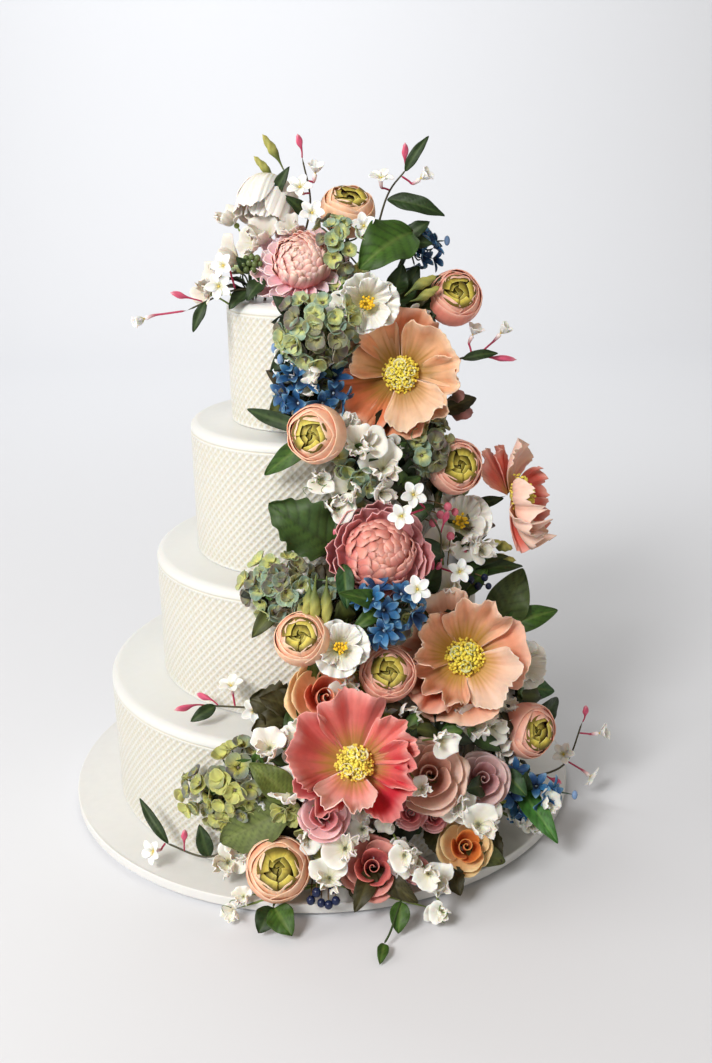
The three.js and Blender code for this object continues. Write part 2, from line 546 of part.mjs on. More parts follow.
// Clusters of small flowers: each [centre, radius] round their knot, with buds [tip] and leaves
// [tip, width].
const CLUSTERS = {
  blue_top: { colour: 'blue', root: [74, -4, 433], knotRadius: 6, petals: 5, facing: [30, 30],
    flowers: [[[80, -4, 442], 8], [[92, 0, 432], 9], [[82, -8, 425], 8]], buds: [[102, 0, 437]],
    leaves: [] },
  blue_upper: { colour: 'blue', root: [-4, -70, 342], knotRadius: 7, petals: 5, facing: [-20, 20],
    flowers: [[[-14, -78, 352], 10], [[-10, -80, 334], 10], [[14, -78, 340], 10]],
    buds: [[-26, -72, 373]], leaves: [] },
  blue_middle: { colour: 'blue', root: [46, -136, 204], knotRadius: 8, petals: 5, facing: [0, 30],
    flowers: [[[38, -147, 213], 10], [[60, -138, 210], 10], [[49, -147, 192], 10]],
    buds: [], leaves: [[[13, -160, 224], 14], [[22, -150, 192], 12]] },
  blue_lower: { colour: 'blue', root: [146, -118, 46], knotRadius: 8, petals: 5, facing: [20, 40],
    flowers: [[[134, -132, 62], 10], [[148, -126, 34], 10], [[164, -132, 50], 11]],
    buds: [[184, -137, 50]], leaves: [[[168, -160, 24], 18], [[146, -146, 76], 14]] },
  hydrangea_upper: { colour: 'hydrangea', root: [6, -72, 388], knotRadius: 11, petals: 4, facing: [0, 16],
    flowers: [[[-10, -82, 394], 13], [[4, -90, 382], 13], [[-8, -84, 374], 12], [[16, -88, 396], 12],
      [[18, -80, 376], 12]], buds: [], leaves: [] },
  hydrangea_crown: { colour: 'hydrangea', root: [22, -40, 440], knotRadius: 6, petals: 4, facing: [0, 40],
    flowers: [[[16, -44, 452], 10], [[28, -50, 436], 11]], buds: [], leaves: [] },
  hydrangea_middle: { colour: 'hydrangea', root: [-26, -122, 218], knotRadius: 9, petals: 4,
    facing: [-5, 30], flowers: [[[-42, -126, 220], 12], [[-26, -132, 229], 12], [[-12, -134, 220], 12],
      [[-28, -134, 208], 12]], buds: [], leaves: [] },
  hydrangea_lower: { colour: 'olive', root: [-60, -166, 88], knotRadius: 10, petals: 4, facing: [-10, 40],
    flowers: [[[-56, -174, 112], 15], [[-90, -160, 84], 14], [[-70, -172, 76], 13],
      [[-78, -166, 62], 12]], buds: [], leaves: [] },
  hydrangea_right: { colour: 'hydrangea', root: [82, -66, 300], knotRadius: 8, petals: 4, facing: [16, 20],
    flowers: [[[86, -72, 306], 12], [[76, -82, 296], 12], [[94, -60, 298], 10]], buds: [], leaves: [] },
}
const CLUSTER_BUD = [[0, 0], [2.4, 0.86], [0, 1]]
for (const [name, { colour, root, knotRadius, petals, facing, flowers, buds, leaves }]
  of Object.entries(CLUSTERS)) {
  const start = vec(root)
  const parts = [stalk(start), knot(start, knotRadius)]
  for (const [at, radius] of flowers) {
    const centre = vec(at)
    const out = centre.clone().sub(start).normalize().add(direction(facing))
    const shape = { petals, notch: petals === 4 ? 0.62 : 0.4, roll: 20 * at[0] }
    parts.push(funnel(centre, throat(start, centre, knotRadius), out, radius, shape))
  }
  for (const tip of buds) parts.push(spindle(start, vec(tip), CLUSTER_BUD, 4))
  for (const [tip, width] of leaves) parts.push(leaf(start, vec(tip), width, { along: 3 }))
  add(name, colour, parts)
}

export default cake
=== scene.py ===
"""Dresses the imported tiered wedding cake.

Four ivory tiers pressed with a lattice stand on their board, and sugar flowers run down from the top
tier to the board. The classes hold their sizes in millimetres; `Moulding` turns them into metres. A
flower is made round +Z, which is the way it faces, and is then stood in its place on the cake.
"""

import logging
import math
import zlib
from dataclasses import dataclass, field, replace
from enum import Enum

import bpy
import numpy as np
from mathutils import Matrix


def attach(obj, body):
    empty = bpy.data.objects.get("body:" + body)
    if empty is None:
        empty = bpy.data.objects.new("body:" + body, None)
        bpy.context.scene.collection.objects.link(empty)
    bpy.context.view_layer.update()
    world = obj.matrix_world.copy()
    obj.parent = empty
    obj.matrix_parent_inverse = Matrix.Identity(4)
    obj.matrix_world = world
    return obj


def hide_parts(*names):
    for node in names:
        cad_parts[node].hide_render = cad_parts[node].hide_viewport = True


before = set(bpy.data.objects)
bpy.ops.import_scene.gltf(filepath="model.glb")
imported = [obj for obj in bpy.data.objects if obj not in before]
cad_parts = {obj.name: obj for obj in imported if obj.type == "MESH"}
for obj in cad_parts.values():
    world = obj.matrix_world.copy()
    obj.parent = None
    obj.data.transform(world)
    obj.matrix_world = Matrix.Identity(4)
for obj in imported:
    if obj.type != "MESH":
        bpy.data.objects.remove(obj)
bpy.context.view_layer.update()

log = logging.getLogger("cake")

Array = np.ndarray
Colour = tuple[int, int, int]
Spot = tuple[float, float, float]
Facing = tuple[float, float]
Draws = np.random.Generator

MM = 0.001
TURN = 2 * math.pi
UP = np.array([0.0, 0.0, 1.0])
TINY = 1e-9
WELD = 1e-4
GOLDEN_ANGLE = 137.508


# ---------------------------------------------------------------- numbers and colours


def unit(vectors: Array) -> Array:
    """Returns the vectors at length one."""
    return vectors / np.maximum(np.linalg.norm(vectors, axis=-1, keepdims=True), TINY)


def direction(facing: Facing) -> Array:
    """Returns the outward vector of a facing of [turn to the right of front, lift], in degrees."""
    turn, lift = np.radians(facing)
    return np.array([math.cos(lift) * math.sin(turn), -math.cos(lift) * math.cos(turn), math.sin(lift)])


def linear(colour: Colour) -> Array:
    """Returns a colour of 0 to 255 a channel as linear light."""
    share = np.array(colour) / 255
    return np.where(share <= 0.04045, share / 12.92, ((share + 0.055) / 1.055) ** 2.4)


def mixed(first: Array, second: Array, share: Array) -> Array:
    """Mixes two colours by a share of the second, held between 0 and 1."""
    share = np.clip(share, 0, 1)[..., None]
    return first * (1 - share) + second * share


def step(value: Array, low: float, high: float) -> Array:
    """Returns a smooth step from 0 at `low` to 1 at `high`."""
    share = np.clip((value - low) / (high - low), 0, 1)
    return share * share * (3 - 2 * share)


def seeded(name: str) -> Draws:
    """Returns the random draws of a piece, the same on every run."""
    return np.random.default_rng(zlib.crc32(name.encode()))


def ripple(where: Array, draws: Draws, count: int, low: float, high: float) -> Array:
    """Adds four sine waves of random frequency and phase for each of some petals.

    Args:
        where: Positions across a petal, from -1 to 1, broadcast against (count, 1, 1).
        draws: The random draws.
        count: The number of petals.
        low: The fewest half waves across a petal.
        high: The most half waves.

    Returns:
        Values of about -1 to 1, one set for each petal.
    """
    total = 0
    for share in (0.4, 0.3, 0.2, 0.1):
        waves = draws.uniform(low, high, (count, 1, 1))
        phase = draws.uniform(0, TURN, (count, 1, 1))
        total = total + share * np.sin(waves * math.pi * where + phase)
    return total * 1.6


# ---------------------------------------------------------------- surfaces


def around(distance: Array, angle: Array, height: Array | float) -> Array:
    """Returns points round the vertical axis: distance times cosine and sine of the angle, at a height."""
    return np.stack(np.broadcast_arrays(distance * np.cos(angle), distance * np.sin(angle), height), axis=-1)


def stood(points: Array, at: Array, out: Array, roll: Array | float = 0.0) -> Array:
    """Stands grids that were made round +Z on spots of their own.

    The grid's third axis goes to `out`, its first to the level direction square to that, turned by
    `roll` degrees about it.

    Args:
        points: Grids of points, (..., rows, columns, 3).
        at: Where each grid's origin goes, (..., 3).
        out: The way each grid faces, (..., 3).
        roll: The turn of each grid about its own axis, in degrees.

    Returns:
        The grids in their places.
    """
    out = unit(np.asarray(out, float))
    side = unit(np.cross(UP, out))
    top = np.cross(out, side)
    turn = np.radians(np.asarray(roll, float))[..., None]
    first = side * np.cos(turn) + top * np.sin(turn)
    second = top * np.cos(turn) - side * np.sin(turn)
    axes = np.stack(np.broadcast_arrays(first, second, out), axis=-2)
    return np.asarray(at, float)[..., None, None, :] + points @ axes[..., None, :, :]


def curve(points: Array | list, count: int) -> Array:
    """Draws a smooth path through some points: cubic arcs whose ends share their neighbours' mean slope.

    Args:
        points: The points that it passes through.
        count: The number of points wanted.

    Returns:
        The points of the path, (count, 3).
    """
    points = np.asarray(points, float)
    slopes = np.gradient(points, axis=0)
    where = np.linspace(0, len(points) - 1, count)
    left = np.minimum(where.astype(int), len(points) - 2)
    f = (where - left)[:, None]
    ends = (2 * f**3 - 3 * f**2 + 1) * points[left] + (3 * f**2 - 2 * f**3) * points[left + 1]
    return ends + (f**3 - 2 * f**2 + f) * slopes[left] + (f**3 - f**2) * slopes[left + 1]


def tube(path: Array, radii: Array, sides: int) -> Array:
    """Carries a ring along paths, square to each path and of the radius given at each of its points.

    Args:
        path: Points along each path, (..., steps, 3).
        radii: The ring's radius at each point, or at each point and side; 0 closes an end.
        sides: The number of sides of the ring.

    Returns:
        Grids of points, (..., steps, sides, 3).
    """
    ahead = unit(np.gradient(path, axis=-2))
    chord = unit(path[..., -1:, :] - path[..., :1, :])
    spare = np.where(np.abs(chord[..., 2:]) > 0.8, np.array([1.0, 0.0, 0.0]), UP)
    side = unit(np.cross(ahead, spare))
    top = np.cross(side, ahead)
    angle = (TURN * np.arange(sides) / sides)[:, None]
    ring = np.cos(angle) * side[..., None, :] + np.sin(angle) * top[..., None, :]
    radii = np.asarray(radii)
    radii = radii[..., None] if radii.shape[-1] != sides or radii.ndim < path.ndim else radii
    return path[..., None, :] + radii[..., None] * ring


def rounded(count: int) -> Array:
    """Returns the radii of a rod with closed ends, as shares of its own radius.

    Args:
        count: The number of points along the rod.

    Returns:
        Ones, with a 0 at each end.
    """
    radii = np.ones(count)
    radii[0] = radii[-1] = 0
    return radii


def ball(centre: Array, radius: Array | float, rings: int, sides: int, tall: float = 1.0) -> Array:
    """Returns a round bead: rings whose radius and height are the sine and cosine of an angle.

    Args:
        centre: The middle of each bead, (..., 3).
        radius: The radius of each.
        rings: The number of rings from pole to pole.
        sides: The number of sides of a ring.
        tall: The height as a share of the width.

    Returns:
        Grids of points, (..., rings, sides, 3).
    """
    fall = np.linspace(0, math.pi, rings)[:, None]
    turn = TURN * np.arange(sides)[None] / sides
    sine = np.sin(fall)
    sine[0] = sine[-1] = 0
    grid = around(sine, turn, tall * np.cos(fall))
    return np.asarray(centre, float)[..., None, None, :] + np.asarray(radius)[..., None, None, None] * grid


def middle_out(count: int) -> Array:
    """Returns shares from -1 to 1 that lie closer together towards both ends."""
    return np.sin(np.linspace(-math.pi / 2, math.pi / 2, count))


def root_to_tip(count: int) -> Array:
    """Returns shares from 0 to 1 that lie closer together towards the tip."""
    return np.sin(np.linspace(0, math.pi / 2, count))


# ---------------------------------------------------------------- finishes


@dataclass(frozen=True)
class Finish:
    """A sugar finish: the painted tint under fine veins, mottling and grain.

    Attributes:
        name: The material's name.
        roughness: How dull the surface is.
        glow: The share of light that passes through the thin sugar.
        sheen: The strength of the powdery sheen.
        mottle: The share by which dusted colour comes and goes.
        veins: The share by which fine lines along a petal darken it.
        relief: The height of the veins, in millimetres.
        grain: The height of the fine grain, in millimetres.
        grain_size: The size of the grain, in millimetres.
        cloud_size: The size of the dusted patches, in millimetres.
    """

    name: str
    roughness: float = 0.6
    glow: float = 0.12
    sheen: float = 0.15
    mottle: float = 0.08
    veins: float = 0.1
    relief: float = 0.12
    grain: float = 0.05
    grain_size: float = 1.2
    cloud_size: float = 7.0

    def material(self) -> bpy.types.Material:
        """Returns the material, made once and then shared.

        The tint is scaled by two shades, one from noise along the petal's veins and one from noise in
        space. The veins' noise and a finer one make the relief.

        Returns:
            The material.
        """
        made = bpy.data.materials.get(self.name)
        if made:
            return made
        made = bpy.data.materials.new(self.name)
        made.use_nodes = True
        nodes, links = made.node_tree.nodes, made.node_tree.links
        shader = nodes["Principled BSDF"]
        for name, value in {
                "Roughness": self.roughness, "Subsurface Weight": self.glow,
                "Subsurface Radius": (1.0, 0.5, 0.25), "Subsurface Scale": 3 * MM,
                "Sheen Weight": self.sheen, "Sheen Roughness": 0.5, "Specular IOR Level": 0.35}.items():
            shader.inputs[name].default_value = value

        def add(kind: str, feed: bpy.types.NodeSocket | None = None, **values: float) -> bpy.types.Node:
            """Adds a node with its values, its first input fed from another node.

            Args:
                kind: The end of the node's type.
                feed: The output that feeds it, if any.
                values: Values for its inputs, with _ for each blank in their names.

            Returns:
                The node.
            """
            node = nodes.new("ShaderNode" + kind)
            for name, value in values.items():
                node.inputs[name.replace("_", " ")].default_value = value
            if feed:
                links.new(feed, node.inputs["Height" if kind == "Bump" else 0])
            return node

        tint, petal = add("Attribute"), add("Attribute")
        tint.attribute_name, petal.attribute_name = "tint", "petal"
        place = add("TexCoord").outputs["Object"]
        lines = add("TexNoise", petal.outputs["Vector"], Scale=1.0, Detail=3.0)
        cloud = add("TexNoise", place, Scale=1 / (self.cloud_size * MM), Detail=4.0)
        fine = add("TexNoise", place, Scale=1 / (self.grain_size * MM), Detail=2.0)
        both = []
        for source, depth in ((lines, self.veins), (cloud, self.mottle)):
            both.append(add("MapRange", source.outputs["Fac"], From_Min=0.3, From_Max=0.7,
                            To_Min=1 - depth, To_Max=1 + depth / 2).outputs["Result"])
        shade = add("Math", both[0])
        shade.operation = "MULTIPLY"
        links.new(both[1], shade.inputs[1])
        dusted = add("VectorMath", tint.outputs["Color"])
        dusted.operation = "SCALE"
        links.new(shade.outputs["Value"], dusted.inputs["Scale"])
        links.new(dusted.outputs["Vector"], shader.inputs["Base Color"])
        ridges = add("Bump", lines.outputs["Fac"], Distance=self.relief * MM, Strength=1.0)
        pores = add("Bump", fine.outputs["Fac"], Distance=self.grain * MM, Strength=1.0)
        links.new(ridges.outputs["Normal"], pores.inputs["Normal"])
        links.new(pores.outputs["Normal"], shader.inputs["Normal"])
        return made


class Sugar(Enum):
    """The finishes of the cake's pieces."""

    ICING = Finish("rolled_icing", roughness=0.42, glow=0.15, sheen=0.05, mottle=0.012, veins=0.0,
                   relief=0.0, grain=0.035, grain_size=0.9)
    BOARD = Finish("iced_board", roughness=0.5, glow=0.1, sheen=0.05, mottle=0.02, veins=0.0,
                   relief=0.0, grain=0.05, grain_size=1.6)
    PETAL = Finish("dusted_petal", glow=0.3, sheen=0.04)
    WHITE = Finish("white_petal", roughness=0.5, glow=0.35, sheen=0.04, mottle=0.03, veins=0.04, relief=0.15)
    LEAF = Finish("waxed_leaf", roughness=0.54, glow=0.05, sheen=0.0, mottle=0.22, veins=0.16, relief=0.14)
    STEM = Finish("green_stem", roughness=0.5, glow=0.0, sheen=0.0, mottle=0.15, veins=0.0, relief=0.0)
    STAMEN = Finish("stamen", roughness=0.7, glow=0.1, mottle=0.1, veins=0.0, relief=0.0, grain=0.08)
    BERRY = Finish("glazed_berry", roughness=0.25, glow=0.05, sheen=0.0, mottle=0.1, veins=0.0, relief=0.0)


# ---------------------------------------------------------------- the mesh of a piece


@dataclass
class Moulding:
    """Closed surfaces, in millimetres, gathered for one piece.

    A surface is a grid of points whose columns join round and whose first and last rows close: each
    to one point, or to a slit. Each point has a tint and a place on its petal. The random draws of
    the piece are the same on every run.
    """

    draws: Draws
    points: list[Array] = field(default_factory=list)
    tints: list[Array] = field(default_factory=list)
    petals: list[Array] = field(default_factory=list)
    islands: list[Array] = field(default_factory=list)
    faces: list[Array] = field(default_factory=list)
    kinds: list[Array] = field(default_factory=list)
    finishes: list[Sugar] = field(default_factory=list)
    size: int = 0
    sheets: int = 0

    def add(self, grids: Array, tints: Array, finish: Sugar, petals: Array | float = 0.0) -> None:
        """Adds closed grids, each turned so that the volume inside it is positive.

        Args:
            grids: Points, (..., rows, columns, 3).
            tints: A linear colour for each point, or one that broadcasts.
            finish: The finish of these surfaces.
            petals: The place on the petal of each point, or one that broadcasts.
        """
        rows, columns = grids.shape[-3:-1]
        shape = grids.shape
        flat = grids.reshape(-1, rows * columns, 3)
        number = len(flat)
        ids = np.arange(rows * columns).reshape(rows, columns)
        here, ahead = ids[:-1], ids[1:]
        corners = [here, ahead, np.roll(ahead, -1, axis=1), np.roll(here, -1, axis=1)]
        a, b, c, d = (corner.reshape(-1) for corner in corners)
        triangles = np.concatenate([np.stack([a, b, c], -1), np.stack([a, c, d], -1)])
        centred = flat - flat.mean(axis=1, keepdims=True)
        first, second, third = (centred[:, triangles[:, k]] for k in range(3))
        volume = np.einsum("nfi,nfi->n", first, np.cross(second, third))
        turned = np.where(volume[:, None, None] < 0, triangles[None, :, ::-1], triangles[None])
        offset = self.size + np.arange(number)[:, None, None] * rows * columns
        if finish not in self.finishes:
            self.finishes.append(finish)
        self.faces.append((turned + offset).reshape(-1, 3))
        self.kinds.append(np.full(number * len(triangles), self.finishes.index(finish)))
        self.points.append(flat.reshape(-1, 3))
        self.tints.append(np.broadcast_to(tints, shape).reshape(-1, 3))
        self.petals.append(np.broadcast_to(petals, shape).reshape(-1, 3))
        self.islands.append(np.repeat(np.arange(number) + self.sheets, rows * columns))
        self.size += number * rows * columns
        self.sheets += number

    def add_sheets(self, sheets: Array, thickness: float, tints: Array, finish: Sugar,
                   underside: float = 0.9, lines: float = 9.0) -> None:
        """Adds open sheets, given two faces that meet along every edge.

        Each face lies half the thickness from the sheet along its normal, and the thickness falls to
        nothing on the outer rows and columns.

        Args:
            sheets: Points, (..., rows, columns, 3).
            thickness: The thickness, in millimetres.
            tints: A linear colour for each point, or one that broadcasts.
            finish: The finish of the sheets.
            underside: The brightness of the lower face, as a share of the upper.
            lines: The number of fine veins across half a petal.
        """
        rows, columns = sheets.shape[-3:-1]
        normal = unit(np.cross(np.gradient(sheets, axis=-2), np.gradient(sheets, axis=-3)))
        fades = []
        for count in (rows, columns):
            fade = np.ones(count)
            fade[[0, -1]] = 0
            fade[[1, -2]] = 0.8
            fades.append(fade)
        lift = normal * (thickness / 2 * fades[0][:, None, None] * fades[1][None, :, None])
        tints = np.broadcast_to(tints, sheets.shape)
        along = np.linspace(0, 1, rows)[:, None] + np.zeros((1, columns))
        across = np.linspace(-1, 1, columns)[None] + np.zeros((rows, 1))
        number = int(np.prod(sheets.shape[:-3]))
        which = (self.sheets + np.arange(number)).reshape(sheets.shape[:-3] + (1, 1))
        place = np.stack(np.broadcast_arrays(1.5 * along, lines * across, 7.3 * which), axis=-1)
        both = np.concatenate([sheets + lift, (sheets - lift)[..., ::-1, :]], axis=-2)
        shades = np.concatenate([tints, underside * tints[..., ::-1, :]], axis=-2)
        places = np.concatenate([place, place[..., ::-1, :]], axis=-2)
        self.add(both, shades, finish, places)

    def add_rod(self, path: Array, radius: float, tint: Colour, finish: Sugar = Sugar.STEM,
                sides: int = 6, taper: float = 1.0) -> None:
        """Adds a round rod along a path, of one radius or tapered to a share of it at the far end."""
        radii = radius * rounded(len(path)) * np.linspace(1, taper, len(path))
        self.add(tube(path, radii, sides), linear(tint), finish)

    def mesh(self, name: str) -> bpy.types.Mesh:
        """Makes the mesh: coincident points of a surface joined, collapsed triangles left out.

        Args:
            name: The mesh's name.

        Returns:
            The mesh, with its colours, its places on petals and its finishes.
        """
        points = np.concatenate(self.points)
        keys = np.column_stack([np.round(points / WELD), np.concatenate(self.islands)]).astype(np.int64)
        _, first, index = np.unique(keys, axis=0, return_index=True, return_inverse=True)
        faces = index.reshape(-1)[np.concatenate(self.faces)]
        a, b, c = faces.T
        whole = (a != b) & (b != c) & (a != c)
        faces = faces[whole]
        kinds = np.concatenate(self.kinds)[whole]
        mesh = bpy.data.meshes.new(name)
        mesh.vertices.add(len(first))
        mesh.vertices.foreach_set("co", (points[first] * MM).astype(np.float32).ravel())
        mesh.loops.add(faces.size)
        mesh.loops.foreach_set("vertex_index", faces.astype(np.int32).ravel())
        mesh.polygons.add(len(faces))
        mesh.polygons.foreach_set("loop_start", np.arange(0, faces.size, 3, dtype=np.int32))
        mesh.polygons.foreach_set("material_index", kinds.astype(np.int32))
        mesh.polygons.foreach_set("use_smooth", np.ones(len(faces), dtype=bool))
        tint = mesh.color_attributes.new("tint", "FLOAT_COLOR", "POINT")
        colours = np.column_stack([np.concatenate(self.tints)[first], np.ones(len(first))])
        tint.data.foreach_set("color", colours.astype(np.float32).ravel())
        petal = mesh.attributes.new("petal", "FLOAT_VECTOR", "POINT")
        petal.data.foreach_set("vector", np.concatenate(self.petals)[first].astype(np.float32).ravel())
        mesh.update(calc_edges=True)
        for finish in self.finishes:
            mesh.materials.append(finish.value.material())
        return mesh


@dataclass
class Piece:
    """One named piece of the cake, which stands for nodes of the frame.

    Attributes:
        node: The node that it stands for.
        slot: The name of a material slot; not used.
    """

    node: str
    slot: str

    def model(self) -> Moulding:
        """Returns the piece's surfaces."""
        raise NotImplementedError

    def stands_for(self) -> tuple[str, ...]:
        """Returns the frame's nodes that the piece replaces."""
        return (self.node,)

    def make(self) -> bpy.types.Object:
        """Builds the piece, dresses it and sets it on the frame.

        Returns:
            The object.
        """
        name = f"{self.node}.sugar"
        made = bpy.data.objects.new(name, self.model().mesh(name))
        bpy.context.scene.collection.objects.link(made)
        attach(made, "root")
        if self.stands_for():
            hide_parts(*self.stands_for())
        log.info("%s: %d triangles", name, len(made.data.polygons))
        return made


# ---------------------------------------------------------------- board and tiers


IVORY: Colour = (215, 216, 213)
# Painted shade: the icing is tinted towards this colour in the lattice's pits and in the crease under the
# rim.
PAINTED_PIT_SHADE: Colour = (196, 190, 170)
BOARD_WHITE: Colour = (216, 216, 214)


def turned(radii: Array, heights: Array, columns: int) -> Array:
    """Turns a profile round the vertical axis: radius times cosine and sine, at its height.

    Args:
        radii: The radius at each row, or at each row and column.
        heights: The height at each row, or at each row and column.
        columns: The number of columns round the axis.

    Returns:
        A grid of points, (rows, columns, 3).
    """
    turn = TURN * np.arange(columns)[None] / columns
    radii = np.asarray(radii, float)
    heights = np.asarray(heights, float)
    radii = radii[:, None] if radii.ndim == 1 else radii
    heights = heights[:, None] if heights.ndim == 1 else heights
    return around(radii, turn, heights)


def corner(radius: float, height: float, round_off: float, low: bool, count: int = 7) -> tuple[Array, Array]:
    """Rounds off an outer edge by a quarter circle, from below upwards.

    Args:
        radius: The outer radius.
        height: The height of the face that the edge ends.
        round_off: The quarter circle's radius.
        low: Whether it is the lower edge.
        count: The number of points.

    Returns:
        The radii and the heights of its points.
    """
    angle = np.linspace(-math.pi / 2, 0, count) if low else np.linspace(0, math.pi / 2, count)
    middle = height + round_off if low else height - round_off
    return radius - round_off + round_off * np.cos(angle), middle + round_off * np.sin(angle)


@dataclass
class Board(Piece):
    """The iced cake board: a disc with softly rounded edges on a narrower foot.

    Attributes:
        radius: The outer radius.
        thickness: The height of its top.
        edge: The radius of its rounded edges.
        lift: The height of the edge's lower side.
        inset: How far the foot lies inside the edge.
        columns: The number of points round it.
    """

    radius: float = 203.0
    thickness: float = 11.0
    edge: float = 1.2
    lift: float = 3.2
    inset: float = 9.0
    columns: int = 180

    def model(self) -> Moulding:
        """Turns the board, with the faint swell that a spatula leaves in its icing.

        Returns:
            The board.
        """
        low = corner(self.radius, self.lift, self.edge, low=True)
        high = corner(self.radius, self.thickness, self.edge, low=False)
        inner = np.linspace(self.radius - 3, 0, 24)
        foot = self.radius - self.inset
        radii = np.concatenate([[0, 90, foot - 1, foot, foot], low[0], high[0], inner])
        heights = np.concatenate([[0, 0, 0, 0.6, self.lift], low[1], high[1],
                                  np.full(len(inner), self.thickness)])
        turn = TURN * np.arange(self.columns)[None] / self.columns
        swell = 0.12 * np.sin(5 * turn + radii[:, None] / 19) * (radii[:, None] / self.radius) ** 2
        on_top = (heights[:, None] >= self.thickness) * np.minimum(1, radii[:, None] / 20)
        swelled = heights[:, None] - 0.12 * on_top + swell * on_top
        moulding = Moulding(seeded(self.node))
        moulding.add(turned(radii, swelled, self.columns), linear(BOARD_WHITE), Sugar.BOARD)
        return moulding


@dataclass
class Tier(Piece):
    """A tier covered in ivory icing: a lattice pressed into its side, a crease and a smooth rim above.

    Attributes:
        radius: The outer radius.
        bottom: The height of its underside.
        top: The height of its top.
        cells: The number of lattice cells round it.
        depth: How deep the pits between the lattice's bars are.
        samples: The number of points round one cell.
        rim: The radius of the rounded upper edge.
        band: The height of the crease below it.
        foot: The radius of the rounded lower edge.
    """

    radius: float
    bottom: float
    top: float
    cells: int
    depth: float = 1.15
    samples: int = 5
    rim: float = 6.0
    band: float = 2.2
    foot: float = 0.8

    def model(self) -> Moulding:
        """Turns the tier, its wall pressed in.

        The two families of bars lie where the cells' share round the tier, plus or less their share
        up it, is whole. The pit's depth grows with the lesser of the two distances from a bar.

        Returns:
            The tier.
        """
        columns = self.cells * self.samples
        cell = TURN * self.radius / self.cells
        wall_top = self.top - self.rim - self.band
        rows = round((wall_top - self.bottom) / cell * self.samples)
        wall = np.linspace(self.bottom + self.foot, wall_top, rows)
        turn = TURN * np.arange(columns)[None] / columns
        round_share = self.cells * turn / TURN
        up_share = (wall[:, None] - wall_top) / cell
        bars = [np.abs(np.sin(math.pi * (round_share + sign * up_share))) for sign in (1, -1)]
        pit = step(np.minimum(*bars), 0.1, 0.85)
        fade = step(wall_top - wall, 0, 1.2)[:, None] * step(wall - self.bottom, 0, 2.5)[:, None]
        wall_radii = self.radius - self.depth * pit * fade
        low = corner(self.radius, self.bottom, self.foot, low=True, count=4)
        groove_heights = wall_top + self.band * np.array([0.15, 0.35, 0.55, 0.8])
        groove = self.radius - 0.55 * np.array([0.1, 1.0, 0.9, 0.1])
        high = corner(self.radius, self.top, self.rim, low=False, count=9)
        lid = np.linspace(self.radius - self.rim - 2, 0, 14)
        below = [[0.0, 0.5 * self.radius], [self.bottom, self.bottom]]
        plain = np.ones((1, columns))
        radii = np.concatenate([
            np.concatenate([below[0], low[0][:-1]])[:, None] * plain, wall_radii,
            np.concatenate([groove, high[0], lid])[:, None] * plain])
        heights = np.concatenate([
            below[1], low[1][:-1], wall, groove_heights, high[1], np.full(len(lid), self.top)])
        rows_below, rows_above = 2 + len(low[0]) - 1, len(groove) + len(high[0]) + len(lid)
        # Painted shade: the pits and the crease are tinted darker, where shade falls in them.
        shade = np.pad((pit * fade), ((rows_below, rows_above), (0, 0)))
        crease = np.zeros(len(radii))
        crease[rows_below + rows:rows_below + rows + len(groove)] = (0.2, 0.8, 0.7, 0.2)
        tint = mixed(linear(IVORY), linear(PAINTED_PIT_SHADE), np.maximum(shade, crease[:, None]))
        moulding = Moulding(seeded(self.node))
        moulding.add(turned(radii, heights, columns), tint, Sugar.ICING)
        return moulding


TIERS = (
    Tier("tier_bottom", "ivory", 168.0, 11.3, 111.5, 168),
    Tier("tier_third", "ivory", 126.0, 111.8, 208.5, 126),
    Tier("tier_second", "ivory", 94.0, 208.8, 309.0, 94),
    Tier("tier_top", "ivory", 62.5, 309.3, 399.5, 62),
)


def footing(at: Array) -> Array:
    """Finds the nearest point on the cake's sides or ledges, a little below its surface.

    Args:
        at: The point to start from.

    Returns:
        The point on the cake.
    """
    sunk, stalk = 3.0, 2.2
    reach = math.hypot(at[0], at[1])
    outward = np.array([at[0] / reach, at[1] / reach, 0.0])
    spots = []
    for tier, above in zip(TIERS, (*TIERS[1:], None)):
        height = min(max(at[2], tier.bottom + tier.rim), tier.top - tier.rim)
        spots.append(outward * (tier.radius - sunk) + UP * height)
        ledge = min(max(reach, above.radius + stalk if above else 0.0), tier.radius - tier.rim)
        spots.append(outward * ledge + UP * (tier.top - sunk))
    return min(spots, key=lambda spot: float(np.linalg.norm(spot - at)))


# ---------------------------------------------------------------- petals


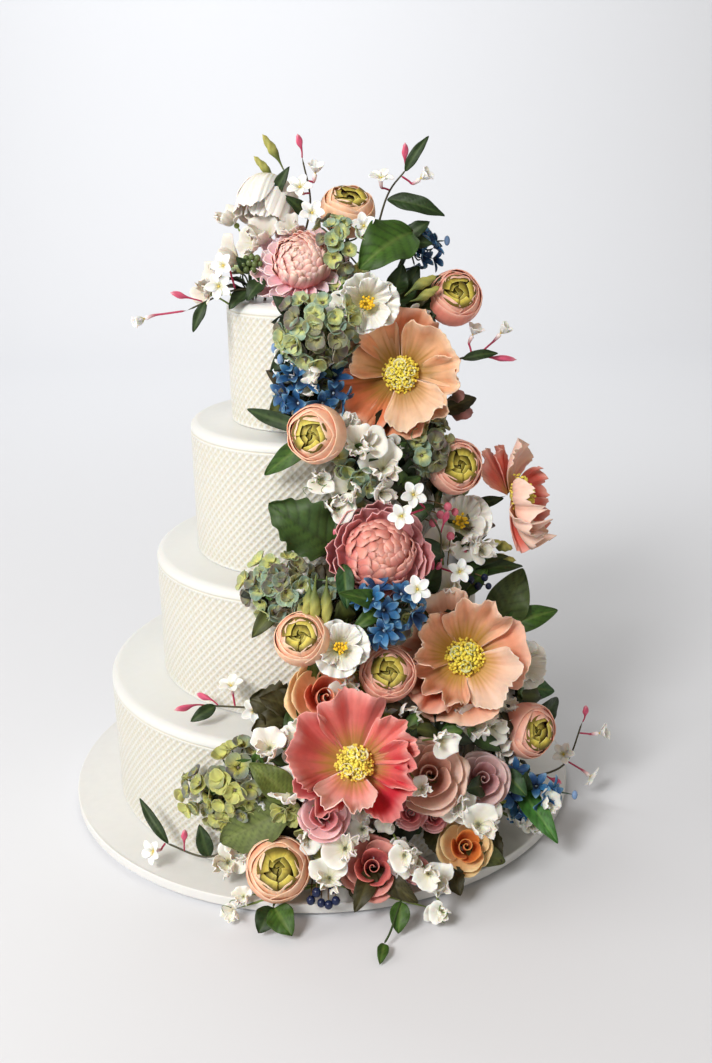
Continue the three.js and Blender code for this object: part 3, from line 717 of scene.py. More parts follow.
@dataclass(frozen=True)
class Palette:
    """The colours of a petal: at its root, over its body, along its edge, and where it is flushed."""

    heart: Colour
    body: Colour
    edge: Colour
    flush: Colour
    heart_reach: float = 0.3
    edge_width: float = 0.1
    streaks: float = 0.35
    rim: float = 0.6

    def tints(self, along: Array, across: Array, draws: Draws, count: int,
              flushed: Array | float = 0.2) -> Array:
        """Paints petals: root to edge by the share along, streaks by the share across.

        Args:
            along: Shares from root to edge, (rows, 1).
            across: Shares from side to side, (1, columns).
            draws: The random draws.
            count: The number of petals.
            flushed: How far each petal leans to the flushed colour; less than 0 leans to the edge's.

        Returns:
            Linear colours, (count, rows, columns, 3).
        """
        heart, body, edge, flush = (linear(c) for c in (self.heart, self.body, self.edge, self.flush))
        flushed = np.broadcast_to(flushed, (count,)).reshape(count, 1, 1)
        streak = ripple(across, draws, count, 5, 15)
        wide = ripple(across + 0.3 * along, draws, count, 1, 4)
        colour = mixed(body, flush, flushed + 0.25 * wide * along)
        # A lean below 0 pales a petal towards the edge colour; on the poppies this is partly painted
        # highlight on petals that catch the light.
        colour = mixed(colour, edge, -flushed * step(along, 0.2, 0.8))
        lines = self.streaks * 0.5 * np.maximum(0, streak) * (1 - along) * step(along, 0.1, 0.4)
        colour = mixed(colour, flush, lines)
        reach = along - 0.35 * self.streaks * np.maximum(streak, -0.3)
        colour = mixed(colour, heart, 1 - step(reach, 0.35 * self.heart_reach, self.heart_reach + 0.2))
        return mixed(colour, edge, self.rim * step(along + 0.04 * wide, 1 - 2 * self.edge_width, 1.0))


@dataclass(frozen=True)
class Fan:
    """A broad petal: a wedge of a turned bowl with a round, ruffled edge.

    Attributes:
        bowl: Four control points (radius, height) of the bowl's cubic arc, as shares of the flower.
        spread: Half the petal's angle, in degrees.
        neck: The share of that angle at the root.
        square: The power of the outline's corners: more is squarer.
        corner: The power of the outline's fall beside the corners: less is fuller.
        ruffle: The height of the edge's waves, as a share of the flower.
        waves: The fewest and most half waves along the edge.
        flute: The height of the finer flutes.
        scoop: How far the petal's sides rise.
        tuck: How far one side rises and the other falls, so that petals overlap in turn.
        notch: The depth of the dip in the middle of the edge; less than 0 makes a point there.
        ragged: How far the outline wanders in and out.
        frill: The height of the fine crimps along the edge.
        crimps: The fewest and most half waves of those crimps.
        deep: The power by which the waves fall towards the root: less is deeper.
        thickness: The petal's thickness, in millimetres.
        rows: The number of points from root to edge.
        columns: The number of points from side to side.
    """

    bowl: tuple[tuple[float, float], ...]
    spread: float = 45.0
    neck: float = 0.45
    square: float = 3.0
    corner: float = 0.45
    ruffle: float = 0.05
    waves: tuple[float, float] = (2.0, 6.0)
    flute: float = 0.012
    scoop: float = 0.05
    tuck: float = 0.04
    notch: float = 0.0
    ragged: float = 0.02
    frill: float = 0.0
    crimps: tuple[float, float] = (14.0, 24.0)
    deep: float = 3.0
    thickness: float = 0.8
    rows: int = 16
    columns: int = 21

    def shares(self) -> tuple[Array, Array]:
        """Returns the shares along (rows, 1) and across (1, columns) the petal."""
        return root_to_tip(self.rows)[:, None], middle_out(self.columns)[None]

    def sheets(self, radius: float, turns: Array, draws: Draws, reach: Array | float = 1.0,
               spread: Array | float | None = None, raised: Array | float = 0.0,
               lifted: Array | float = 0.0) -> Array:
        """Lays petals round the flower's axis.

        A point's share along the bowl's arc goes from 0 to the outline's reach, which falls to the
        sides as a power of 1 less the share across. The arc is a cubic in that share. Waves, scoop
        and tuck move the point along the bowl's normal.

        Args:
            radius: The flower's radius, in millimetres.
            turns: The angle of each petal's middle, in degrees.
            draws: The random draws.
            reach: Each petal's length, as a share of the bowl's.
            spread: Half the angle of each petal, if it isn't the fan's own.
            raised: A height added to each petal, in shares of the flower.
            lifted: How far each petal's edge is turned up, in shares of the flower.

        Returns:
            Sheets of points, (petals, rows, columns, 3).
        """
        t, s = self.shares()
        count = len(turns)
        each = lambda value: np.broadcast_to(value, (count,)).reshape(count, 1, 1).astype(float)
        half = np.radians(each(self.spread if spread is None else spread))
        outline = np.maximum(1 - np.abs(s) ** self.square, 0) ** self.corner
        outline = outline - self.notch * np.exp(-((s / 0.3) ** 2))
        edge_waves = ripple(s, draws, count, *self.waves)
        crimps = ripple(s, draws, count, *self.crimps) * (1 - s**4)
        outline = outline * (1 + self.ragged * (edge_waves + 0.5 * crimps))
        u = each(reach) * t * outline
        (r0, z0), (r1, z1), (r2, z2), (r3, z3) = self.bowl
        v = 1 - u
        arc = lambda a, b, c, d: a * v**3 + 3 * b * u * v**2 + 3 * c * u**2 * v + d * u**3
        slope = lambda a, b, c, d: 3 * ((b - a) * v**2 + 2 * (c - b) * u * v + (d - c) * u**2)
        distance, height = arc(r0, r1, r2, r3), arc(z0, z1, z2, z3) + each(raised)
        run, rise = slope(r0, r1, r2, r3), slope(z0, z1, z2, z3)
        length = np.maximum(np.hypot(run, rise), TINY)
        flutes = ripple(s, draws, count, 9, 16)
        lift = self.ruffle * np.minimum(u, 1) ** self.deep * edge_waves + self.flute * u * flutes
        lift = lift + self.frill * t**5 * crimps
        lift = lift + self.scoop * s**2 * u + self.tuck * s * u + each(lifted) * u**2
        distance = distance - lift * rise / length
        height = height + lift * run / length
        angle = np.radians(each(turns)) + half * s * (self.neck + (1 - self.neck) * np.minimum(u, 1))
        return radius * around(distance, angle, height)


@dataclass(frozen=True)
class Blade:
    """A narrow petal that bends towards the flower's axis or away from it as it grows.

    Attributes:
        length: The length, in millimetres.
        width: Half the greatest width.
        lean: The angle from the flower's axis at the root, in degrees.
        curl: How far it turns back towards the axis by its tip, in degrees.
        cup: How far the edges rise, as a share of half the width.
        blunt: Where it is widest: more is nearer the tip.
        point: How pointed it is: less is rounder.
        thickness: The petal's thickness, in millimetres; not used.
        rows: The number of points from root to tip.
        columns: The number of points from side to side.
    """

    length: float
    width: float
    lean: float = 60.0
    curl: float = 0.0
    cup: float = 0.3
    blunt: float = 1.3
    point: float = 0.6
    thickness: float = 0.6
    rows: int = 8
    columns: int = 5

    def shares(self) -> tuple[Array, Array]:
        """Returns the shares along (rows, 1) and across (1, columns) the petal."""
        return root_to_tip(self.rows)[:, None], middle_out(self.columns)[None]

    def sheets(self, turns: Array, root: Array | float = 0.0, height: Array | float = 0.0,
               size: Array | float = 1.0, lean: Array | float = 0.0) -> Array:
        """Stands petals round the axis.

        The middle line's angle from the axis falls evenly by the curl; its distance and height are
        the sums of that angle's sine and cosine. The half width is a power of the sine of a power of
        the share along, and the sides rise by its square across.

        Args:
            turns: The angle of each petal round the axis, in degrees, (...).
            root: The distance of each root from the axis.
            height: The height of each root.
            size: The size of each petal, as a share of the blade's.
            lean: Degrees added to each petal's lean.

        Returns:
            Sheets of points, (..., rows, columns, 3).
        """
        turns = np.asarray(turns, float)
        each = lambda value: np.broadcast_to(value, turns.shape)[..., None].astype(float)
        t = root_to_tip(self.rows)
        s = middle_out(self.columns)
        tilt = np.radians(self.lean + each(lean) - self.curl * t)
        pace = np.diff(t, prepend=0.0) * self.length * each(size)
        distance = each(root) + np.cumsum(np.sin(tilt) * pace, axis=-1)
        rise = each(height) + np.cumsum(np.cos(tilt) * pace, axis=-1)
        half = self.width * each(size) * np.sin(math.pi * np.minimum(t**self.blunt, 1)).clip(0) ** self.point
        half[..., -1] = 0
        lift = self.cup * half[..., None] * s**2
        out = distance[..., None] - np.cos(tilt)[..., None] * lift
        up = rise[..., None] + np.sin(tilt)[..., None] * lift
        wide = half[..., None] * s
        angle = np.radians(turns)[..., None, None]
        return np.stack([
            out * np.cos(angle) - wide * np.sin(angle),
            out * np.sin(angle) + wide * np.cos(angle), up + 0 * wide], axis=-1)


def spiral(count: int, low: float, high: float) -> tuple[Array, Array]:
    """Spreads points evenly over a cap, each a golden angle round from the last.

    Args:
        count: The number of points.
        low: The angle of the first from the axis, in degrees.
        high: The angle of the last.

    Returns:
        The angles round the axis and from it, in degrees.
    """
    share = (np.arange(count) + 0.5) / count
    fall = np.arccos(math.cos(math.radians(low)) * (1 - share) + math.cos(math.radians(high)) * share)
    return np.arange(count) * GOLDEN_ANGLE % 360, np.degrees(fall)


# ---------------------------------------------------------------- single flowers


STALK_GREEN: Colour = (52, 70, 34)


@dataclass(frozen=True)
class Leaf:
    """A leaf from its base to its tip: folded along its midrib, arched and waved, with side veins.

    Attributes:
        base: Where it grows from.
        tip: Where it ends.
        width: Its greatest width.
        face: The way its upper side faces.
        body: Its colour.
        vein: The colour of its midrib.
        veins: The number of side veins on each side.
        teeth: The depth of the teeth along its edge, as a share of its half width.
        arch: How far its middle rises, as a share of its length.
        fold: How far its sides rise from the midrib, as a share of their width.
        wave: The height of the waves along its edge, as a share of its width.
        fine: Whether it is seen near enough to need many points.
    """

    base: Spot
    tip: Spot
    width: float
    face: Facing = (0, 30)
    body: Colour = (62, 98, 28)
    vein: Colour = (120, 142, 70)
    veins: int = 6
    teeth: float = 0.0
    arch: float = 0.12
    fold: float = 0.25
    wave: float = 0.07
    fine: bool = True

    def shape(self, moulding: Moulding, out: Array | None = None) -> None:
        """Adds the leaf to a piece.

        Its middle line rises by the arch as a parabola, its halves by the fold times the distance
        from the midrib, and its edge by a sine of the length. Side veins are grooves where the share
        along, less a part of the share across, times their number is whole.

        Args:
            moulding: The piece that it belongs to.
            out: The way it faces, if not its own face.
        """
        base, tip = np.array(self.base, float), np.array(self.tip, float)
        length = float(np.linalg.norm(tip - base))
        rows = 10 if not self.fine else 61 if length > 36 else 22 if length > 22 else 13
        columns = 7 if not self.fine else 21 if self.width > 25 else 15 if self.width > 12 else 9
        ahead = unit(tip - base)
        face = direction(self.face) if out is None else out
        normal = unit(face - ahead * float(face @ ahead))
        side = np.cross(ahead, normal)
        t = (0.75 * np.linspace(0, 1, rows) + 0.125 - 0.125 * np.cos(np.linspace(0, math.pi, rows)))[:, None]
        s = middle_out(columns)[None]
        half = self.width / 2 * np.sin(math.pi * np.minimum(t**0.8, 1)).clip(0) ** 0.8
        half[-1] = 0
        serrated = 1 + self.teeth * (np.abs(s) ** 6) * np.sin(40 * t)
        phase = (t - 0.22 * np.abs(s)) * self.veins
        groove = np.exp(-(((phase - np.round(phase)) / 0.13) ** 2)) * step(1 - np.abs(s), 0, 0.2)
        midrib = np.exp(-((s / 0.09) ** 2)) + 0 * t
        rise = self.arch * length * 4 * t * (1 - t) + self.fold * half * np.abs(s)
        rise = rise + self.wave * self.width * np.sin(TURN * 2.2 * t + s) * s * s
        rise = rise - 0.35 * groove * step(half, 1, 6) - 0.3 * midrib
        sheet = base + (tip - base) * t[..., None] + side * (s * half * serrated)[..., None]
        sheet = sheet + normal * rise[..., None]
        body, vein = linear(self.body), linear(self.vein)
        shade = mixed(body, 0.72 * body, step(np.abs(s) + 0 * t, 0.1, 0.9))
        tint = mixed(shade, 0.42 * body, 0.85 * groove)
        tint = mixed(tint, vein, 0.45 * midrib)
        moulding.add_sheets(sheet, 0.8, tint, Sugar.LEAF, underside=1.15)


@dataclass
class Flower(Piece):
    """A flower that stands alone on its stalk, with the leaves fused to it.

    Attributes:
        at: The middle of the flower.
        facing: The way it faces, [turn, lift] in degrees.
        radius: Its radius.
        leaves: Its leaves.
        foot: Where its stalk stands, if not on the nearest surface.
        seat: How far behind the middle the stalk ends, as a share of the radius.
    """

    at: Spot
    facing: Facing
    radius: float
    leaves: tuple[Leaf, ...] = ()
    foot: Spot | None = None
    seat: float = 0.3

    def out(self) -> Array:
        """Returns the way the flower faces."""
        return direction(self.facing)

    def bloom(self, moulding: Moulding) -> None:
        """Adds the flower itself to the piece."""
        raise NotImplementedError

    def place(self, points: Array) -> Array:
        """Stands grids made round +Z in the flower's place."""
        return stood(points, np.array(self.at, float), self.out())

    def model(self) -> Moulding:
        """Returns the flower with its stalk and its leaves.

        Returns:
            The piece.
        """
        moulding = Moulding(seeded(self.node))
        self.grow(moulding)
        return moulding

    def grow(self, moulding: Moulding, root: Array | None = None) -> None:
        """Adds the flower with its stalk, from its own foot or from the cake, and its leaves.

        Args:
            moulding: The piece that it is added to.
            root: Not used.
        """
        back = np.array(self.at, float) - self.seat * self.radius * self.out()
        foot = footing(back) if self.foot is None else np.array(self.foot, float)
        moulding.add_rod(curve([foot, (foot + back) / 2, back], 6), 1.5, STALK_GREEN, sides=8)
        for leaf in self.leaves:
            leaf.shape(moulding)
        self.bloom(moulding)


@dataclass(frozen=True)
class Stamens:
    """A boss of stamens: fine filaments that fan out from the heart, each with its anther.

    Attributes:
        count: The number of filaments.
        length: Their length, as a share of the flower.
        opening: The greatest angle from the axis, in degrees.
        filament: The filaments' colour.
        anther: The anthers' colour.
        core: The colour of the pistils.
        thick: The radius of a filament, in millimetres.
        pistils: The number of curled pistils among them.
        bead: The radius of an anther, as a share of the flower.
    """

    count: int
    length: float
    opening: float
    filament: Colour
    anther: Colour
    core: Colour
    thick: float = 0.32
    pistils: int = 0
    bead: float = 0.025

    def shape(self, flower: Flower, moulding: Moulding, base: float) -> None:
        """Adds the stamens to a flower.

        A filament's end lies on a cap round the heart; its middle is pushed up, so it bows. The anther
        is a small bead, longer than wide.

        Args:
            flower: The flower.
            moulding: The piece.
            base: The height of the heart, as a share of the flower.
        """
        draws = moulding.draws
        radius = flower.radius
        turns, falls = spiral(self.count, 6, self.opening)
        turn = np.radians(turns + draws.uniform(-9, 9, self.count))
        fall = np.radians(falls + draws.uniform(-5, 5, self.count))
        length = self.length * radius * draws.uniform(0.82, 1.08, self.count)
        ends = around(np.sin(fall), turn, np.cos(fall)) * length[:, None]
        share = np.linspace(0, 1, 6)[None, :, None]
        path = ends[:, None, :] * share
        path[..., 2] += (0.22 * length[:, None]) * np.sin(math.pi * share[..., 0]) * np.sin(fall)[:, None]
        path[..., 2] += base * radius
        hairs = tube(path, self.thick * rounded(6) + np.zeros((self.count, 1)), 4)
        shade = draws.uniform(0.8, 1.1, (self.count, 1, 1, 1))
        moulding.add(flower.place(hairs), linear(self.filament) * shade, Sugar.STAMEN)
        beads = ball(path[:, -1], self.bead * radius * draws.uniform(0.8, 1.2, self.count), 5, 6, 1.3)
        moulding.add(flower.place(beads), linear(self.anther) * shade, Sugar.STAMEN)
        core = ball(np.array([0, 0, (base + 0.1) * radius]), 0.13 * radius, 8, 14, 1.1)
        moulding.add(flower.place(core), linear(self.filament), Sugar.STAMEN)
        for k in range(self.pistils):
            turn = TURN * (k + draws.uniform(0.1, 0.6)) / self.pistils
            out = np.array([0.62 * math.cos(turn), 0.62 * math.sin(turn), 1.0])
            spot = unit(out) * self.length * radius + UP * base * radius
            moulding.add_sheets(flower.place(self.curl(spot, out, 0.115 * radius, draws)), 0.7,
                                linear(self.core), Sugar.STAMEN)

    def curl(self, at: Array, out: Array, size: float, draws: Draws) -> Array:
        """Curls a pistil: a sheet whose distance from its middle grows as it turns, its edge waved.

        Args:
            at: Where it stands.
            out: The way it faces.
            size: Its radius.
            draws: The random draws.

        Returns:
            A sheet of points, (rows, columns, 3).
        """
        t, s = np.linspace(0, 1, 6)[:, None], np.linspace(0, 1, 30)[None]
        angle = TURN * 1.5 * s
        distance = size * (0.18 + 0.85 * s) * (0.75 + 0.35 * t)
        height = size * (1.1 * t - 0.9 + 0.16 * t * np.sin(9 * angle + draws.uniform(0, TURN)))
        return stood(around(distance, angle, height), at, out, draws.uniform(0, 360))


@dataclass
class Poppy(Flower):
    """An open poppy: broad fluted petals in a shallow bowl round a boss of stamens.

    Attributes:
        petals: Each petal's direction, length, half spread, layer, lean to the flushed colour and how
        far its edge is turned up. The lean is partly the petal's own tone and partly painted light and
        shade: more flushed for petals in shade, paler, below 0, for petals that catch the light.
        palette: The petals' colours.
        stamens: The boss.
        cup: The height of the bowl's rim.
        depth: The depth of the bowl.
        ruffle: The height of the petals' waves, as a share of the flower.
    """

    petals: tuple[tuple[float, ...], ...] = ()
    palette: Palette | None = None
    stamens: Stamens | None = None
    cup: float = 0.34
    depth: float = 0.42
    ruffle: float = 0.13
    seat: float = 0.22

    def bloom(self, moulding: Moulding) -> None:
        """Adds the petals, layer above layer, and the stamens.

        Args:
            moulding: The piece that it is added to.
        """
        draws = moulding.draws
        fan = Fan(((0.05, -0.62 * self.depth), (0.62, -self.depth), (0.82, self.cup - 0.22),
                   (1.0, self.cup - 0.03)),
                  neck=0.8, square=4, corner=0.36, ruffle=self.ruffle, waves=(1.6, 5.0), flute=0.018,
                  scoop=0.04, tuck=0.12, ragged=0.03, frill=0.038, crimps=(12, 22), deep=2.0, thickness=0.8,
                  rows=24, columns=53)
        turns, reach, spread, layer, flushed, lifted = (np.array(column) for column in zip(*self.petals))
        count = len(turns)
        sheets = fan.sheets(self.radius, turns, draws, reach=reach, spread=1.1 * spread,
                            raised=-0.06 + 0.05 * layer, lifted=lifted)
        tints = self.palette.tints(*fan.shares(), draws, count, flushed)
        moulding.add_sheets(self.place(sheets), fan.thickness, tints, Sugar.PETAL)
        self.stamens.shape(self, moulding, -0.57 * self.depth)


@dataclass
class Ranunculus(Flower):
    """A ranunculus: thin petals wrapped round a ball, open at the top on a green heart.

    Attributes:
        wrap: The colours of the wrapped petals.
        green: The colours of the heart's petals.
        gap: How wide the heart petals' faces are, as a share of the flower.
        opening: The angle of the opening's rim from the axis, in degrees.
    """

    wrap: Palette = Palette((240, 190, 130), (242, 172, 144), (250, 200, 172), (230, 126, 114), 0.2, 0.03)
    # The heart's first colour, dark olive where each heart petal runs under the ring outside it, is partly
    # the heart's own green and partly painted shade.
    green: Palette = Palette((104, 90, 22), (222, 200, 86), (238, 224, 134), (124, 118, 38), 0.6, 0.08, 0.2,
                             0.6)
    gap: float = 0.17
    opening: float = 34.0

    def bloom(self, moulding: Moulding) -> None:
        """Adds the wrapped petals from outside in, then the faces of the heart.

        Args:
            moulding: The piece that it is added to.
        """
        for layer, count in enumerate((3, 4, 5)):
            self.wrapped(moulding, layer, count)
        self.heart(moulding)
        # The dark floor under the heart's petals is partly the heart's own green and partly painted shade in
        # the gaps between them.
        floor = ball(np.array([0, 0, 0.18 * self.radius]), 0.55 * self.radius, 7, 14, 0.4)
        moulding.add(self.place(floor), linear((98, 88, 24)), Sugar.PETAL)
        calyx = ball(np.array([0, 0, -0.84 * self.radius]), 0.44 * self.radius, 8, 14, 0.24)
        moulding.add(self.place(calyx), linear(STALK_GREEN), Sugar.STEM)

    def wrapped(self, moulding: Moulding, layer: int, count: int) -> None:
        """Adds one layer of wrapped petals.

        A petal lies on a ball: its share along runs from below up to its rim, its share across round
        the ball. The rim dips towards its sides and lips out.

        Args:
            moulding: The piece that it is added to.
            layer: The layer, 0 for the outermost.
            count: The number of its petals.
        """
        draws = moulding.draws
        t, s = root_to_tip(15)[:, None], middle_out(19)[None]
        each = lambda low, high: draws.uniform(low, high, (count, 1, 1))
        turn = np.radians(360 / count * np.arange(count).reshape(count, 1, 1) + 47 * layer + each(-10, 10))
        top = np.radians(self.opening + 25 - 12.5 * layer + each(-5, 5))
        low = np.radians(156 - 20 * layer)
        fall = low + (top - low) * t + np.radians(17) * np.abs(s) ** 2.4 * t
        lip = 0.03 * t**8 + 0.03 * ripple(s, draws, count, 1, 3) * t**2
        wide = np.radians(250 / count)
        angle = turn + wide * s
        size = self.radius * (1.0 - 0.05 * layer + each(-0.012, 0.012) + lip - 0.03 * s**2)
        sheet = around(size * np.sin(fall), angle, 0.92 * size * np.cos(fall))
        tints = self.wrap.tints(t, s, draws, count, draws.uniform(0.0, 0.6 - 0.2 * layer, count))
        moulding.add_sheets(self.place(sheet), 0.6, tints, Sugar.PETAL)

    def heart(self, moulding: Moulding) -> None:
        """Adds the heart's petals, ring inside ring, each ring a step lower than the last.

        Each is a strip that slopes down and inwards to its free edge, which lies on an outline most of
        the way from a circle to a polygon. One side of each is higher, so that they overlap in turn.

        Args:
            moulding: The piece that it is added to.
        """
        draws = moulding.draws
        t, s = root_to_tip(7)[:, None], middle_out(13)[None]
        wall, crest, ring = 0.64, 0.64, 0
        while wall > 0.12:
            count = 5 if wall > 0.5 else 4 if wall > 0.3 else 3
            turn = np.radians(360 / count * np.arange(count).reshape(count, 1, 1) + 34 * ring)
            turn = turn + draws.uniform(-0.3, 0.3, (count, 1, 1))
            span = math.radians(215 / count)
            flat = 1 - 0.85 * t * (1 - np.cos(0.84 * span) / np.cos(0.84 * span * s))
            width = self.gap * (0.62 + 0.8 * wall) * (1 + draws.uniform(-0.25, 0.25, (count, 1, 1)))
            distance = self.radius * (wall - (width + 0.04) * t * (1 + 0.4 * s)) * flat
            height = crest - 0.02 * t + 0.03 * t**6 + 0.06 * s + 0.03 * np.sin(math.pi * t) * wall
            height = self.radius * (height + draws.uniform(-0.012, 0.012, (count, 1, 1)))
            sheet = around(distance, turn + span * s, height)
            tints = self.green.tints(t, s, draws, count, draws.uniform(0, 0.3, count) + 0.28 * ring)
            moulding.add_sheets(self.place(sheet), 0.5, tints, Sugar.PETAL, underside=0.6)
            wall, crest, ring = wall - self.gap * (0.62 + 0.8 * wall), crest - 0.1, ring + 1
        bud = ball(np.array([0, 0, (crest - 0.02) * self.radius]), 0.08 * self.radius, 8, 10, 1.1)
        moulding.add(self.place(bud), linear(self.green.body), Sugar.PETAL)


@dataclass
class Peony(Flower):
    """A double peony: a ball of many small cupped petals in a ring of broad outer ones.

    Attributes:
        outer: The colours of the outer petals.
        inner: The colours of the ball's petals.
        count: The number of petals in the ball.
        swirl: Degrees by which the ball's petals lean round the axis.
        blade: A petal of the ball, for a flower of radius 34.
        ring: The number of outer petals in each of three rings.
        ball: The ball's radius, as a share of the flower.
        stand: How far the ball's petals stand out from it.
        swell: How much larger the ball's lowest petals are than its highest.
        hollow: How far the outer petals' sides rise.
        skirt: The bowl of the outer petals, as a Fan's.
    """

    outer: Palette | None = None
    inner: Palette | None = None
    count: int = 70
    swirl: float = 0.0
    blade: Blade | None = None
    ring: int = 8
    ball: float = 0.6
    stand: float = 0.4
    swell: float = 0.42
    hollow: float = 0.16
    skirt: tuple[tuple[float, float], ...] = ((0.2, -0.42), (0.75, -0.45), (1.0, -0.2), (1.0, 0.14))

    def bloom(self, moulding: Moulding) -> None:
        """Adds three rings of outer petals, then the ball and its petals.

        Args:
            moulding: The piece that it is added to.
        """
        draws = moulding.draws
        fan = Fan(self.skirt, spread=272 / self.ring, neck=0.6, square=3.4, ruffle=0.06, scoop=self.hollow,
                  tuck=0.05, rows=13, columns=17 if self.ring < 10 else 11)
        for layer, reach in enumerate((1.0, 0.92, 0.88)):
            turns = 360 / self.ring * (np.arange(self.ring) + layer / 2) + draws.uniform(-6, 6, self.ring)
            sheets = fan.sheets(self.radius * (1 - 0.09 * layer), turns, draws,
                                reach=reach * draws.uniform(0.9, 1.05, self.ring), raised=0.08 * layer)
            tints = self.outer.tints(*fan.shares(), draws, self.ring, draws.uniform(0, 0.6, self.ring))
            moulding.add_sheets(self.place(sheets), 0.8, tints, Sugar.PETAL)
        self.petals(moulding)
        core = ball(np.array([0, 0, -0.1 * self.radius]), 0.8 * self.ball * self.radius, 12, 20, 0.84)
        moulding.add(self.place(core), linear(self.inner.heart), Sugar.PETAL)

    def petals(self, moulding: Moulding) -> None:
        """Adds the ball's petals, on a spiral over its cap.

        A petal's root is on the ball, a third of its length below its place. It grows up the ball
        towards the top, turned aside by the swirl, with its hollow against the ball.

        Args:
            moulding: The piece that it is added to.
        """
        draws = moulding.draws
        turns, falls = spiral(self.count, 3, 96)
        turn, fall = np.radians(turns), np.radians(falls)
        sine, cosine = np.sin(fall), np.cos(fall)
        out, uphill = around(sine, turn, cosine), around(-cosine, turn, sine)
        side = np.cross(uphill, out)
        swirl = np.radians(self.swirl + draws.uniform(-10, 10, self.count))[:, None]
        growing = uphill * np.cos(swirl) + side * np.sin(swirl)
        growing = unit(growing + self.stand * out)
        away = unit(out - growing * np.sum(out * growing, axis=-1, keepdims=True))
        side = np.cross(growing, away)
        size = self.radius / 34 * (0.66 + self.swell * sine) * draws.uniform(0.9, 1.12, self.count)
        shape = self.ball * (0.86 + 0.16 * sine)[:, None] * np.array([1, 1, 0.88])
        spots = self.radius * (out * shape - np.array([0, 0, 0.1]))
        spots = spots - 0.5 * self.blade.length * size[:, None] * growing
        sheets = self.blade.sheets(np.zeros(self.count), size=size, lean=draws.uniform(-6, 8, self.count))
        axes = np.stack([away, side, growing], axis=-2)
        sheets = spots[:, None, None, :] + sheets @ axes[:, None, :, :]
        deep = np.clip(0.1 + 0.5 * sine**3 + draws.uniform(-0.15, 0.2, self.count), 0, 1)
        tints = self.inner.tints(*self.blade.shares(), draws, self.count, deep)
        moulding.add_sheets(self.place(sheets), 0.7, tints, Sugar.PETAL, lines=3)


class Form(Enum):
    """How far a white cup flower is open: each ring's petal count, half spread and bowl."""

    OPEN = (
        (3, 76, ((0.1, -0.7), (0.6, -0.66), (0.66, -0.02), (1.05, 0.12))),
        (3, 70, ((0.1, -0.62), (0.5, -0.58), (0.5, 0.0), (0.84, 0.22))),
    )
    BELL = (
        (4, 60, ((0.1, -0.9), (1.05, -0.95), (1.1, -0.1), (1.0, 0.66))),
        (3, 70, ((0.1, -0.8), (0.75, -0.85), (0.7, 0.0), (0.55, 0.8))),
    )


@dataclass
class Lisianthus(Flower):
    """A lisianthus: ruffled white petals that rise in a cup and turn out, round yellow stamens."""

    palette: Palette = Palette((226, 216, 160), (253, 250, 241), (255, 254, 250), (244, 234, 216), 0.26,
                               0.12, 0.15)
    heart: Colour = (176, 168, 74)
    stamen: Colour = (246, 200, 36)
    form: Form = Form.OPEN
    roll: float = 0.0

    def bloom(self, moulding: Moulding) -> None:
        """Adds two rings of petals and, in an open flower, the green heart and its stamens.

        Args:
            moulding: The piece that it is added to.
        """
        draws = moulding.draws
        bell = self.form is Form.BELL
        for layer, (count, spread, bowl) in enumerate(self.form.value):
            fan = Fan(bowl, spread=spread, neck=0.9, square=4.0, ruffle=0.07 if bell else 0.13, waves=(2, 7),
                      flute=0.02, scoop=0.05, tuck=0.09, ragged=0.012 if bell else 0.03,
                      frill=0.02 if bell else 0.05, crimps=(16, 27), thickness=0.65,
                      deep=1.5 if bell else 2.6, rows=15, columns=63)
            turns = 360 / count * (np.arange(count) + layer / 2) + self.roll
            sheets = fan.sheets(self.radius, turns, draws, reach=draws.uniform(0.92, 1.04, count))
            tints = self.palette.tints(*fan.shares(), draws, count, 0.1)
            moulding.add_sheets(self.place(sheets), fan.thickness, tints, Sugar.WHITE)
        if bell:
            return
        cup = ball(np.array([0, 0, -0.6 * self.radius]), 0.2 * self.radius, 7, 12, 1.2)
        moulding.add(self.place(cup), linear(self.heart), Sugar.STAMEN)
        Stamens(18, 0.42, 36, (226, 200, 60), self.stamen, self.heart, 0.5, bead=0.055).shape(
            self, moulding, -0.42)


